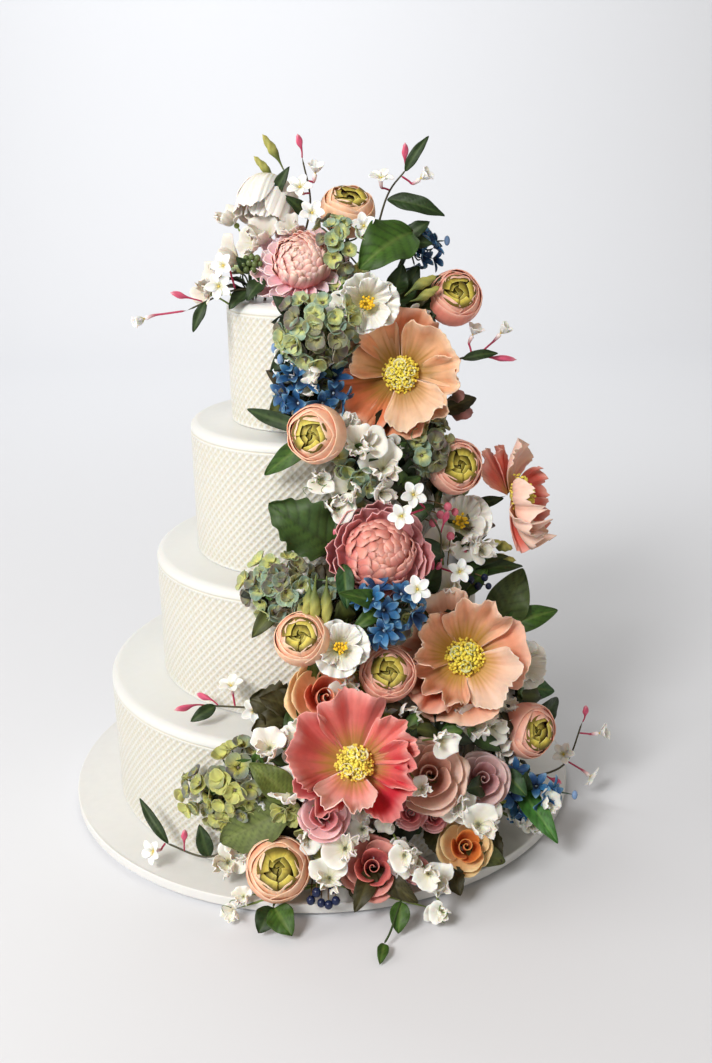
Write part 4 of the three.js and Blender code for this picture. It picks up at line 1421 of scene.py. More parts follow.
@dataclass
class Rose(Flower):
    """A garden rose: outer petals that roll back round a scrolled heart.

    Attributes:
        outer: The colours of the outer petals.
        inner: The colours of the heart.
    """

    outer: Palette | None = None
    inner: Palette | None = None

    def bloom(self, moulding: Moulding) -> None:
        """Adds three rings of broad petals, each steeper, and the scroll.

        The scroll is a sheet whose distance from the axis grows with its angle round it; its upper
        edge falls outwards.

        Args:
            moulding: The piece that it is added to.
        """
        draws = moulding.draws
        rings = (
            (4, ((0.16, -0.6), (0.9, -0.56), (1.02, 0.06), (1.12, -0.12)), 62, 0.3),
            (3, ((0.14, -0.45), (0.6, -0.42), (0.82, 0.16), (0.96, 0.16)), 76, 0.3),
            (3, ((0.12, -0.4), (0.44, -0.44), (0.48, 0.3), (0.6, 0.4)), 80, 0.3),
        )
        for layer, (count, bowl, spread, flushed) in enumerate(rings):
            fan = Fan(bowl, spread=spread, neck=0.9, square=3.0, ruffle=0.045, waves=(1, 3), flute=0.006,
                      scoop=-0.02, tuck=0.12, notch=-0.12, ragged=0.012, thickness=0.6,
                      rows=14 if self.radius > 14 else 9, columns=21 if self.radius > 14 else 13)
            turns = 360 / count * np.arange(count) + 41 * layer + draws.uniform(-8, 8, count)
            sheets = fan.sheets(self.radius, turns, draws, reach=draws.uniform(0.92, 1.03, count))
            palette = self.outer if layer < 2 else self.inner
            palette = replace(palette, rim=0.2)
            tints = palette.tints(*fan.shares(), draws, count, flushed * draws.uniform(0.4, 1.3, count))
            moulding.add_sheets(self.place(sheets), fan.thickness, tints, Sugar.PETAL)
        t, s = root_to_tip(9)[:, None], np.linspace(0, 1, 72)[None]
        angle = TURN * 1.7 * s
        distance = self.radius * (0.02 + 0.27 * s) * (1 + 0.16 * t**3)
        crest = self.radius * (0.52 - 0.1 * s + 0.02 * np.sin(2.3 * angle))
        height = -0.2 * self.radius + (crest + 0.2 * self.radius) * t
        tints = self.inner.tints(t, 2 * s - 1, draws, 1, 0.4)[0]
        moulding.add_sheets(self.place(around(distance, angle, height)), 0.5, tints, Sugar.PETAL)


# ---------------------------------------------------------------- sprays


PALE_STEM: Colour = (120, 140, 70)
CREAM = Palette((230, 224, 182), (252, 248, 238), (255, 253, 247), (236, 222, 204), 0.22, 0.12, 0.25)
# A darker copy of CREAM for the white flowers that face the key lamp: painted shade.
CREAM_PAINTED_SHADE = Palette((208, 204, 168), (226, 221, 212), (242, 237, 229), (214, 198, 188), 0.3, 0.1, 0.4)


@dataclass
class LeafSpray(Piece):
    """A short stem and its leaves."""

    stem: tuple[Spot, ...]
    leaves: tuple[Leaf, ...]
    foot: bool = True

    def model(self) -> Moulding:
        """Returns the stem, from the cake's surface, and the leaves.

        Returns:
            The piece.
        """
        moulding = Moulding(seeded(self.node))
        points = [np.array(spot, float) for spot in self.stem]
        if self.foot:
            points = [footing(points[0]), *points]
        moulding.add_rod(curve(points, 4 * len(points)), 0.8, STALK_GREEN)
        for leaf in self.leaves:
            leaf.shape(moulding)
        return moulding


@dataclass(frozen=True)
class Pea:
    """One sweet pea: a broad ruffled standard behind two wings and a keel.

    Attributes:
        at: Where it stands.
        radius: Its radius.
        facing: The way it faces.
        roll: Its turn about that way, in degrees.
        palette: Its colours.
        fine: Whether its edges are frilled as finely as a flower in front needs.
    """

    at: Spot
    radius: float
    facing: Facing
    roll: float = 0.0
    palette: Palette = CREAM
    fine: bool = True

    def grow(self, moulding: Moulding, root: Array | None = None) -> None:
        """Adds the flower, its calyx and the stem from its root, or from the cake.

        Args:
            moulding: The piece that it is added to.
            root: Where its stem starts, if not on the cake.
        """
        draws = moulding.draws
        at, out = np.array(self.at, float), direction(self.facing)
        root = footing(at) if root is None else root
        back = at - 0.68 * self.radius * out
        moulding.add_rod(curve([root, (root + back) / 2 + UP, back], 6), 0.8, PALE_STEM)
        standard = Fan(((0.04, -0.5), (0.45, -0.42), (0.85, 0.05), (1.12, -0.1)), spread=98, neck=0.9,
                       square=3.0, ruffle=0.17, waves=(2, 5), flute=0.02, scoop=0.24, tuck=0.05,
                       notch=0.08, ragged=0.03, frill=0.016, crimps=(8, 14) if self.fine else (4, 8),
                       thickness=0.6, rows=12 if self.fine else 9, columns=39 if self.fine else 21)
        wing = Fan(((0.02, -0.45), (0.4, -0.36), (0.62, 0.3), (0.42, 0.62)), spread=66, neck=0.85,
                   square=2.8, ruffle=0.18, waves=(2, 4), flute=0.02, scoop=-0.1, tuck=0.12,
                   ragged=0.03, frill=0.014, crimps=(6, 11) if self.fine else (3, 6), thickness=0.6,
                   rows=10 if self.fine else 8, columns=23 if self.fine else 13)
        keel = Fan(((0.0, -0.38), (0.34, -0.3), (0.4, 0.1), (0.2, 0.4)), spread=86, neck=0.9, ruffle=0.06,
                   scoop=-0.1, thickness=0.6, rows=8, columns=11)
        for fan, turns in ((standard, np.array([90.0])), (wing, np.array([-22.0, 202.0])),
                           (keel, np.array([270.0]))):
            sheets = fan.sheets(self.radius, turns + draws.uniform(-14, 14), draws)
            tints = self.palette.tints(*fan.shares(), draws, len(turns), draws.uniform(0, 0.3))
            moulding.add_sheets(stood(sheets, at, out, self.roll), fan.thickness, tints, Sugar.WHITE)
        moulding.add(ball(back, 0.17 * self.radius, 7, 8), linear((150, 165, 90)), Sugar.STEM)


@dataclass
class SweetPeas(Piece):
    """A sprig of sweet peas on one stalk."""

    root: Spot
    peas: tuple[Pea, ...]

    def model(self) -> Moulding:
        """Returns the sprig, its stems carried from the root to each flower's throat.

        Returns:
            The piece.
        """
        moulding = Moulding(seeded(self.node))
        root = np.array(self.root, float)
        foot = footing(root)
        moulding.add_rod(curve([foot, (foot + root) / 2, root], 6), 1.4, STALK_GREEN, sides=8)
        moulding.add(ball(root, 2.0, 7, 8), linear(STALK_GREEN), Sugar.STEM)
        for pea in self.peas:
            pea.grow(moulding, root)
        return moulding


RASPBERRY_RED: Colour = (176, 52, 88)
BUD_PINK: Colour = (214, 92, 124)


@dataclass(frozen=True)
class Star:
    """One jasmine flower: a bent tube, five petals and a yellow eye.

    Attributes:
        at: Where it stands.
        facing: The way it faces.
        radius: Its radius.
        shut: How far its petals are folded forward, in degrees.
    """

    at: Spot
    facing: Facing
    radius: float = 10.0
    shut: float = 0.0

    def grow(self, moulding: Moulding, root: Array | None = None) -> None:
        """Adds the flower on a tube that goes from red to white and widens into the petals.

        Args:
            moulding: The piece that it is added to.
            root: Where its stem starts, if not on the cake.
        """
        draws = moulding.draws
        at, out = np.array(self.at, float), direction(self.facing)
        root = footing(at) if root is None else root
        away = at - 7.0 * out
        route = curve([root, (root + away) / 2 + 0.12 * (away - root), away, at + 0.3 * out], 14)
        share = np.linspace(0, 1, 14)
        width = (0.75 + 1.0 * step(share, 0.45, 1.0)) * rounded(14)
        tint = mixed(linear(RASPBERRY_RED), linear((250, 236, 236)), step(share, 0.55, 0.95))
        moulding.add(tube(route, width, 7), tint[:, None, :], Sugar.PETAL)
        petal = Blade(10.0, 3.5, lean=70, curl=-16, cup=0.4, blunt=1.05, point=0.55, rows=10, columns=7)
        white = Palette((224, 206, 120), (251, 249, 243), (255, 254, 250), (238, 222, 222), 0.12, 0.1, 0.1)
        turns = 72.0 * np.arange(5) + draws.uniform(-5, 5, 5) + draws.uniform(0, 72)
        sheets = petal.sheets(turns, size=self.radius / 10, lean=draws.uniform(-14, 8, 5) - self.shut)
        tints = white.tints(*petal.shares(), draws, 5, 0.05)
        moulding.add_sheets(stood(sheets, at, out), 0.5, tints, Sugar.WHITE, lines=2)
        moulding.add(ball(at + 0.5 * out, 0.9, 5, 6), linear((224, 200, 96)), Sugar.STAMEN)


@dataclass(frozen=True)
class Bud:
    """A closed bud: a stem that swells to a pointed, faintly twisted spindle.

    Attributes:
        base: Where its stem starts.
        tip: Where it ends.
        width: Its greatest radius.
        full: The share along at which it is widest.
        twist: The turns of its folds from base to tip.
        stem: The colour of its stem.
        body: The colour of the bud.
        point: The colour of its tip.
    """

    base: Spot
    tip: Spot
    width: float = 2.3
    full: float = 0.68
    twist: float = 0.5
    stem: Colour = RASPBERRY_RED
    body: Colour = BUD_PINK
    point: Colour = (240, 178, 188)

    def grow(self, moulding: Moulding, root: Array | None = None) -> None:
        """Adds the bud: its radius is a bell curve of the share along, its folds a cosine of the angle.

        Args:
            moulding: The piece that it is added to.
            root: Where its stem starts, if not on the cake.
        """
        draws = moulding.draws
        base, tip = np.array(self.base, float), np.array(self.tip, float)
        if root is not None:
            moulding.add_rod(curve([root, (root + base) / 2 + UP, base], 7), 0.7, self.stem)
        steps, sides = 22, 15
        aside = 0.06 * float(np.linalg.norm(tip - base)) * unit(draws.normal(0, 1, 3))
        route = curve([base, (2 * base + tip) / 3 + aside, (base + 2 * tip) / 3 + 0.5 * aside, tip], steps)
        share = np.linspace(0, 1, steps)
        reach = np.where(share < self.full, 0.2, 0.85 * (1 - self.full))
        swell = 0.55 + (self.width - 0.55) * np.exp(-(((share - self.full) / reach) ** 2))
        swell = swell * (1 - step(share, 0.9, 1.0))
        swell[0] = swell[-1] = 0
        angle = TURN * np.arange(sides) / sides
        folds = np.cos(3 * angle[None] + TURN * self.twist * 3 * share[:, None])
        radii = swell[:, None] * (1 + 0.14 * folds * step(share, 0.35, 0.6)[:, None])
        tint = mixed(linear(self.stem), linear(self.body), step(share, 0.3, 0.6))
        tint = mixed(tint, linear(self.point), 0.7 * step(share, 0.8, 1.0))
        # Painted light and shade on the folds: the tint is lighter on each ridge and darker in each groove.
        moulding.add(tube(route, radii, sides), tint[:, None, :] * (0.9 + 0.12 * folds[..., None]),
                     Sugar.PETAL)


@dataclass(frozen=True)
class Berry:
    """A round berry on a thin stem: where it stands, its radius and its colour."""

    at: Spot
    radius: float = 2.6
    tint: Colour = (28, 40, 78)
    stem: Colour = (80, 84, 50)

    def grow(self, moulding: Moulding, root: Array | None = None) -> None:
        """Adds the berry and its stem.

        Args:
            moulding: The piece that it is added to.
            root: Where its stem starts, if not on the cake.
        """
        draws = moulding.draws
        at = np.array(self.at, float)
        root = footing(at) if root is None else root
        moulding.add_rod(curve([root, (root + at) / 2 + 2 * UP, at], 7), 0.5, self.stem)
        moulding.add(ball(at, self.radius * draws.uniform(0.85, 1.15), 9, 12, 1.1), linear(self.tint),
                     Sugar.BERRY)


@dataclass(frozen=True)
class Tendril:
    """A fine tendril that curls up at its end: its start, its end and the turns of the curl."""

    base: Spot
    end: Spot
    turns: float = 2.0
    tint: Colour = (96, 122, 58)

    def grow(self, moulding: Moulding, root: Array | None = None) -> None:
        """Adds the tendril: a line along which a circle widens, turning by the turns.

        Args:
            moulding: The piece that it is added to.
            root: Not used.
        """
        base, end = np.array(self.base, float), np.array(self.end, float)
        share = np.linspace(0, 1, 40)[:, None]
        ahead = unit(end - base)
        side = unit(np.cross(UP, ahead) + 0.01)
        top = np.cross(ahead, side)
        angle = TURN * self.turns * share**1.5
        wide = 3.2 * share
        path = base + (end - base) * share + wide * (side * np.sin(angle) + top * (1 - np.cos(angle)))
        moulding.add_rod(path, 0.4, self.tint, sides=5, taper=0.6)


@dataclass
class Jasmine(Piece):
    """A spray of jasmine: white stars on raspberry tubes, pink buds and dark leaves."""

    stem: tuple[Spot, ...]
    stars: tuple[Star, ...]
    buds: tuple[tuple[Spot, Spot], ...]
    leaves: tuple[Leaf, ...]
    stem_tint: Colour = (70, 66, 44)

    def model(self) -> Moulding:
        """Returns the spray, its stem carried from the cake's surface.

        Returns:
            The piece.
        """
        moulding = Moulding(seeded(self.node))
        stem = [np.array(spot, float) for spot in self.stem]
        path = curve([footing(stem[0]), *stem], 24)
        moulding.add_rod(path, 1.1, self.stem_tint, taper=0.6)
        for star in self.stars:
            at = np.array(star.at, float)
            away = at - 9.0 * direction(star.facing)
            gaps = np.linalg.norm(path - away, axis=1) + 0.3 * np.linalg.norm(path - at, axis=1)
            star.grow(moulding, path[np.argmin(gaps)])
        for base, tip in self.buds:
            Bud(base, tip).grow(moulding)
        for leaf in self.leaves:
            leaf.shape(moulding)
        return moulding


@dataclass(frozen=True)
class Floret:
    """One small open flower: where it stands and its radius."""

    at: Spot
    radius: float


@dataclass
class Cluster(Piece):
    """A cluster of small open flowers on short stems that grow from one knot.

    Attributes:
        root: Where the knot stands.
        petals: The number of petals of a floret.
        facing: The way the cluster faces.
        florets: The middles of its tufts.
        palettes: The colours that its petals are drawn from.
        blade: A petal of a floret of radius 10.
        tips: The tips of its buds.
        leaves: Its leaves.
        eye: The colour of a floret's eye.
        bud_tint: The colour of its buds.
        stem_tint: The colour of its stems.
        crowd: How many florets make a tuft.
        share: The radius of each, as a share of the tuft's.
        loose: How far a tuft's florets lie apart, as a share of their radius.
        knot: The width of the knot.
    """

    root: Spot
    petals: int
    facing: Facing
    florets: tuple[Floret, ...]
    palettes: tuple[Palette, ...]
    blade: Blade
    tips: tuple[Spot, ...] = ()
    leaves: tuple[Leaf, ...] = ()
    eye: Colour = (225, 222, 190)
    bud_tint: Colour = (120, 150, 190)
    stem_tint: Colour = (70, 84, 50)
    crowd: int = 1
    share: float = 1.0
    loose: float = 0.9
    knot: float = 6.0

    def model(self) -> Moulding:
        """Builds the knot, the stems, the florets, the buds and the leaves.

        Returns:
            The piece.
        """
        moulding = Moulding(seeded(self.node))
        root = np.array(self.root, float)
        foot = footing(root)
        moulding.add_rod(curve([foot, (foot + root) / 2, root], 6), 1.4, self.stem_tint, sides=8)
        moulding.add(ball(root, 0.5 * self.knot, 7, 8), linear(self.stem_tint), Sugar.STEM)
        for floret in self.florets:
            self.tuft(moulding, floret, root)
        for tip in self.tips:
            path = curve([root, (root + np.array(tip)) / 2 + 1.5 * UP, tip], 8)
            moulding.add_rod(path, 0.6, self.stem_tint)
            moulding.add(ball(path[-1], 2.2, 7, 8, 1.7), linear(self.bud_tint), Sugar.PETAL)
        for leaf in self.leaves:
            leaf.shape(moulding)
        return moulding

    def tuft(self, moulding: Moulding, floret: Floret, root: Array) -> None:
        """Adds one tuft: a floret in its middle and the rest round it, lower and turned outwards.

        Args:
            moulding: The piece that it is added to.
            floret: The tuft's middle and radius.
            root: Where the stems start.
        """
        draws = moulding.draws
        out = unit(0.8 * direction(self.facing) + 0.8 * unit(np.array(floret.at) - root))
        centre = np.array(floret.at, float)
        radius = floret.radius * self.share
        side = unit(np.cross(UP, out))
        top = np.cross(out, side)
        start = draws.uniform(0, TURN)
        for k in range(self.crowd):
            angle = start + TURN * k / max(1, self.crowd - 1) + draws.uniform(-0.4, 0.4)
            sideways = (side * math.cos(angle) + top * math.sin(angle)) * (k > 0)
            wide = self.loose * radius * draws.uniform(0.8, 1.2)
            at = centre + wide * sideways - 0.45 * radius * draws.uniform(0.4, 1.4) * out * (k > 0)
            face = unit(out + 0.75 * sideways + 0.2 * draws.normal(0, 1, 3))
            self.flower(moulding, at, face, radius * draws.uniform(0.85, 1.12), root)

    def flower(self, moulding: Moulding, at: Array, face: Array, radius: float, root: Array) -> None:
        """Adds one floret on its stem, each petal of a colour of its own.

        Args:
            moulding: The piece that it is added to.
            at: Where it stands.
            face: The way it faces.
            radius: Its radius.
            root: Where its stem starts.
        """
        draws = moulding.draws
        back = at - 0.5 * radius * face
        moulding.add_rod(curve([root, (root + back) / 2, back, at], 7), 0.65, self.stem_tint, sides=5)
        turns = 360 / self.petals * np.arange(self.petals) + draws.uniform(-7, 7, self.petals)
        tilt = draws.uniform(-16, 10, self.petals) + draws.uniform(-10, 8)
        sheets = self.blade.sheets(turns, root=0.3, size=radius / 10 * draws.uniform(0.9, 1.1, self.petals),
                                   lean=tilt)
        paints = [palette.tints(*self.blade.shares(), draws, self.petals, draws.uniform(0, 0.9, self.petals))
                  for palette in self.palettes]
        share = np.clip(draws.uniform(-0.1, 1.1) + draws.uniform(-0.3, 0.3, (self.petals, 1, 1)), 0, 1)
        first, second = draws.choice(len(paints), 2)
        tints = mixed(paints[first], paints[second], share + np.zeros(paints[0].shape[:-1]))
        moulding.add_sheets(stood(sheets, at, face, draws.uniform(0, 90)), 0.6, tints, Sugar.PETAL, lines=4)
        moulding.add(ball(at + 0.6 * face, 0.07 * radius + 0.35, 5, 6), linear(self.eye), Sugar.STAMEN)


# ---------------------------------------------------------------- what fills the gaps


@dataclass
class Posy(Piece):
    """Small flowers, buds and leaves that no node of the frame stands for.

    Attributes:
        parts: What grows on the cake, each from a footing of its own or from the root.
        leaves: Leaves among them.
        root: Where the parts' stems start, if they share a root.
    """

    parts: tuple[Flower | Pea | Star | Bud | Berry | Tendril, ...] = ()
    leaves: tuple[Leaf, ...] = ()
    root: Spot | None = None

    def stands_for(self) -> tuple[str, ...]:
        """Returns no nodes: nothing in the frame is replaced."""
        return ()

    def model(self) -> Moulding:
        """Gathers the parts and the leaves.

        Returns:
            The piece.
        """
        moulding = Moulding(seeded(self.node))
        root = None if self.root is None else np.array(self.root, float)
        for part in self.parts:
            part.grow(moulding, root)
        for leaf in self.leaves:
            leaf.shape(moulding)
        return moulding


@dataclass
class Undergrowth(Piece):
    """Leaves, blossoms and buds in the gaps between neighbouring flowers, close to the cake.

    Attributes:
        hosts: The middle and the radius of each flower on the cake.
        flowers: The open flowers that nothing may pierce.
        low: The height that the gaps start from.
        high: The height that they end at.
        near: The widest gap that is filled.
        spacing: The least distance between two filled places.
        tones: The leaves' colours, dark: partly dark foliage and partly painted shade deep in the gaps.
        palettes: The colours of the small blossoms.
    """

    hosts: tuple[tuple[Spot, float], ...]
    flowers: tuple[Flower, ...]
    low: float
    high: float
    near: float = 34.0
    spacing: float = 15.0
    tones: tuple[Colour, ...] = ((38, 56, 24), (52, 78, 30), (28, 38, 20), (72, 80, 32), (58, 50, 26))
    palettes: tuple[Palette, ...] = ()

    def stands_for(self) -> tuple[str, ...]:
        """Returns no nodes: nothing in the frame is replaced."""
        return ()

    def gaps(self) -> list[Array]:
        """Finds the middle of the gap between each two neighbours, none crowded.

        Returns:
            The middles, the widest gap first.
        """
        found = []
        for k, (first, wide) in enumerate(self.hosts):
            for second, broad in self.hosts[k + 1:]:
                here, there = np.array(first, float), np.array(second, float)
                apart = float(np.linalg.norm(there - here))
                gap = apart - wide - broad
                middle = here + (there - here) * (wide + gap / 2) / apart
                if gap < self.near and self.low <= middle[2] < self.high:
                    found.append((gap, middle))
        kept: list[Array] = []
        for _, middle in sorted(found, key=lambda pair: pair[0], reverse=True):
            if all(np.linalg.norm(middle - other) > self.spacing for other in kept):
                kept.append(middle)
        return kept

    def model(self) -> Moulding:
        """Fills each gap with leaves low down and a sprig that rises towards its opening.

        Returns:
            The piece.
        """
        moulding = Moulding(seeded(self.node))
        for middle in self.gaps():
            foot = footing(middle)
            reach = float(np.linalg.norm(middle - foot))
            if reach > 44:
                continue
            out = unit(middle - foot + 4 * unit(np.array([foot[0], foot[1], 12.0])))
            self.backing(moulding, foot, out, reach)
            self.sprig(moulding, self.behind(foot + 0.72 * max(reach, 14) * out), foot, out)
        return moulding

    def behind(self, point: Array) -> Array:
        """Moves a point that stands in or just before a flower to behind its bowl.

        Args:
            point: The point.

        Returns:
            The point, moved or not.
        """
        for flower in self.flowers:
            out = flower.out()
            away = point - np.array(flower.at, float)
            depth = float(away @ out)
            wide = float(np.linalg.norm(away - depth * out)) / flower.radius
            limit = -flower.radius * (0.62 - 0.4 * wide**2)
            if wide < 1.1 and limit < depth < flower.radius:
                point = point + (limit - depth) * out
        return point

    def sideways(self, draws: Draws, out: Array) -> Array:
        """Returns a random direction square to the way out."""
        push = draws.normal(0, 1, 3)
        return unit(push - out * float(push @ out))

    def backing(self, moulding: Moulding, foot: Array, out: Array, reach: float) -> None:
        """Adds three dark leaves that spread from the foot of a gap.

        Args:
            moulding: The piece that it is added to.
            foot: The place on the cake.
            out: The way out of the gap.
            reach: The gap's depth.
        """
        draws = moulding.draws
        for _ in range(3):
            along = self.sideways(draws, out)
            base = foot + out * min(0.3 * reach, 8) * draws.uniform(0.5, 1.2)
            tip = self.behind(base + along * draws.uniform(20, 30) + out * draws.uniform(5, 13))
            # The leaves are dark partly as painted shade deep in the gap.
            tone = self.tones[draws.integers(len(self.tones))]
            vein = tuple(int(min(255, 1.35 * value + 14)) for value in tone)
            leaf = Leaf(tuple(base), tuple(tip), draws.uniform(11, 17), body=tone, vein=vein, veins=5,
                        fine=False)
            leaf.shape(moulding, out)

    def sprig(self, moulding: Moulding, at: Array, foot: Array, out: Array) -> None:
        """Adds a sprig of one of four kinds: white blossoms, florets, beads or two leaves.

        Args:
            moulding: The piece that it is added to.
            at: Where its flowers stand.
            foot: Where its stems start.
            out: The way out of the gap.
        """
        draws = moulding.draws
        turn = math.degrees(math.atan2(out[0], -out[1]))
        lift = math.degrees(math.asin(max(-1.0, min(1.0, out[2]))))
        kind = draws.uniform()
        if kind < 0.3:
            for _ in range(2):
                spot = self.behind(at + 7 * self.sideways(draws, out))
                facing = (turn + draws.uniform(-30, 30), lift + draws.uniform(-20, 20))
                pea = Pea(tuple(spot), draws.uniform(8.5, 11), facing, draws.uniform(0, 180), fine=False)
                pea.grow(moulding, foot)
        elif kind < 0.65:
            cluster = Cluster("", "", tuple(foot), 4, (turn, lift), (), self.palettes, ROUND_PETAL,
                              eye=(120, 110, 90))
            for _ in range(4):
                spot = self.behind(at + 6.5 * self.sideways(draws, out))
                face = unit(out + 0.6 * self.sideways(draws, out))
                cluster.flower(moulding, spot, face, draws.uniform(7, 9), foot)
        elif kind < 0.8:
            for _ in range(5):
                aside = draws.uniform(3, 9) * self.sideways(draws, out)
                spot = self.behind(at + aside + draws.uniform(-2, 5) * out)
                bead = Berry(tuple(spot), draws.uniform(1.4, 2.2), (226, 128, 140), (120, 96, 62))
                bead.grow(moulding, foot)
        else:
            for _ in range(2):
                tip = self.behind(at + 15 * self.sideways(draws, out) + 4 * out)
                leaf = Leaf(tuple(at - 3 * out), tuple(tip), 10, body=(70, 106, 40), fine=False)
                leaf.shape(moulding, out)
                moulding.add_rod(curve([foot, (foot + at) / 2, at - 3 * out], 5), 0.7, STALK_GREEN)


# ---------------------------------------------------------------- the flowers of this cake


def green(base: Spot, tip: Spot, width: float, face: Facing = (0, 30), **more: object) -> Leaf:
    """Returns a mid-green leaf."""
    return Leaf(base, tip, width, face, **more)


DARK: Colour = (40, 64, 24)
DARK_VEIN: Colour = (84, 104, 56)
OLIVE: Colour = (84, 92, 40)
OLIVE_VEIN: Colour = (120, 124, 66)
BROWN: Colour = (66, 62, 30)
BROWN_VEIN: Colour = (96, 92, 50)


def dark(base: Spot, tip: Spot, width: float, face: Facing = (0, 30)) -> Leaf:
    """Returns a dark green leaf."""
    return Leaf(base, tip, width, face, DARK, DARK_VEIN)


def brown(base: Spot, tip: Spot, width: float, face: Facing = (0, 30), veins: int = 6,
          **more: float) -> Leaf:
    """Returns a brown leaf."""
    return Leaf(base, tip, width, face, BROWN, BROWN_VEIN, veins, **more)


PEACH = Palette((172, 130, 52), (248, 196, 154), (255, 234, 214), (242, 140, 98), 0.38, 0.14, 0.2, 0.4)
APRICOT = Palette((196, 152, 58), (252, 194, 160), (255, 232, 216), (240, 138, 108), 0.38, 0.16, 0.2, 0.45)
RASPBERRY = Palette((180, 134, 56), (246, 140, 132), (255, 214, 204), (206, 40, 58), 0.3, 0.16, 0.2, 0.35)
SALMON = Palette((226, 170, 110), (250, 194, 174), (255, 226, 212), (228, 108, 92), 0.2, 0.14, 0.3, 0.4)

POPPIES = (
    Poppy("poppy_peach_upper", "peach", (63, -62, 351), (-4, 14), 42,
          petals=((186, 1.36, 44, 0, 1.1, -0.26), (-112, 1.2, 50, 0, 0.8, -0.15),
                  (98, 1.12, 52, 1, 0.6, -0.02), (140, 0.98, 50, 2, 0.15, 0.06),
                  (36, 1.02, 56, 3, 0.05, 0.1), (-20, 0.98, 50, 2, 0.1, 0.05),
                  (-66, 0.94, 50, 4, -0.4, 0.08), (214, 1.14, 42, 1, 1.1, -0.1)),
          palette=PEACH,
          stamens=Stamens(260, 0.31, 78, (244, 226, 96), (250, 234, 88), (244, 240, 186), pistils=5)),
    Poppy("poppy_peach_lower", "peach", (105, -116, 154), (-2, 27), 45,
          petals=((138, 1.22, 54, 0, -0.4, 0.0), (250, 1.12, 60, 0, 0.2, -0.08),
                  (8, 0.94, 48, 0, 0.4, -0.06), (204, 1.2, 50, 1, 0.7, -0.06),
                  (78, 1.02, 50, 2, 0.0, 0.2), (-36, 0.88, 54, 4, -0.7, 0.12),
                  (158, 1.0, 44, 3, 0.2, 0.24), (228, 0.96, 48, 3, 0.3, 0.2)),
          palette=APRICOT, cup=0.34,
          stamens=Stamens(240, 0.31, 78, (244, 226, 96), (250, 234, 88), (228, 232, 170), pistils=3)),
    Poppy("poppy_pink", "rose_pink", (21, -198, 117), (0, 34), 43, cup=0.36, ruffle=0.16,
          petals=((-38, 0.95, 44, 0, 1.4, 0.0), (212, 0.98, 44, 0, 0.9, 0.04),
                  (96, 1.06, 40, 1, 0.25, -0.06), (168, 1.1, 48, 2, 0.4, 0.05),
                  (30, 1.04, 34, 3, 0.1, 0.14), (-4, 0.98, 34, 2, 0.7, 0.16), (256, 0.84, 54, 4, -0.7, 0.3)),
          palette=RASPBERRY,
          stamens=Stamens(250, 0.3, 78, (246, 226, 100), (250, 234, 96), (246, 240, 190), pistils=4)),
    Poppy("poppy_coral", "coral", (154, -30, 248), (62, 8), 41, cup=0.2, depth=0.18,
          petals=((80, 0.68, 34, 0, 1.1, -0.6), (120, 0.66, 36, 0, 0.8, -0.9),
                  (66, 0.98, 50, 1, -0.4, -0.06), (284, 1.04, 26, 1, 1.0, -0.04),
                  (-12, 0.96, 50, 2, 1.3, 0.08), (-58, 0.96, 42, 3, 1.0, 0.14),
                  (240, 1.14, 52, 4, -0.45, 0.2), (186, 1.0, 50, 5, -0.45, 0.36)),
          foot=(88, -18, 232), palette=SALMON,
          leaves=(dark((122, -25, 240), (144, -29, 246), 9, (-10, 20)),),
          stamens=Stamens(190, 0.4, 74, (240, 218, 100), (246, 226, 96), (225, 215, 150))),
)


def wrapped(body: Colour, edge: Colour, flush: Colour) -> Palette:
    """Returns the colours of a ranunculus's wrapped petals."""
    return Palette((240, 196, 140), body, edge, flush, 0.2, 0.05, 0.5)


PALE_WRAP = wrapped((248, 194, 156), (254, 224, 200), (240, 146, 116))
PINK_WRAP = wrapped((250, 182, 160), (253, 206, 186), (232, 110, 102))
PEACH_WRAP = wrapped((252, 194, 160), (255, 222, 194), (238, 126, 102))

RANUNCULUS = (
    Ranunculus("ranunculus_top", "ranunculus", (29, -10, 460), (18, 60), 20, wrap=PALE_WRAP),
    Ranunculus("ranunculus_top_right", "ranunculus", (104, -30, 399), (12, 30), 20, foot=(60, -17, 392),
               wrap=PINK_WRAP),
    Ranunculus("ranunculus_upper_left", "ranunculus", (2, -116, 322), (-24, 13), 20, wrap=PEACH_WRAP,
               leaves=(dark((4, -110, 321), (-47, -62, 328), 11, (-12, 14)),
                       green((4, -110, 321), (-35, -101, 290), 15, (-12, 14)))),
    Ranunculus("ranunculus_upper_right", "ranunculus", (102, -60, 281), (17, 18), 20.5, wrap=PINK_WRAP),
    Ranunculus("ranunculus_middle_left", "ranunculus", (-12, -150, 187), (-8, 38), 19, wrap=PEACH_WRAP),
    Ranunculus("ranunculus_middle_right", "ranunculus", (47, -140, 154), (2, 34), 20, wrap=PINK_WRAP),
    Ranunculus("ranunculus_lower_right", "ranunculus", (153, -108, 89), (32, 14), 21, wrap=PINK_WRAP,
               leaves=(dark((152, -103, 86), (184, -62, 92), 15, (14, 24)),)),
    Ranunculus("ranunculus_lower_left", "ranunculus", (-33, -199, 38), (3, 34), 22.5, wrap=PALE_WRAP,
               opening=36),
)

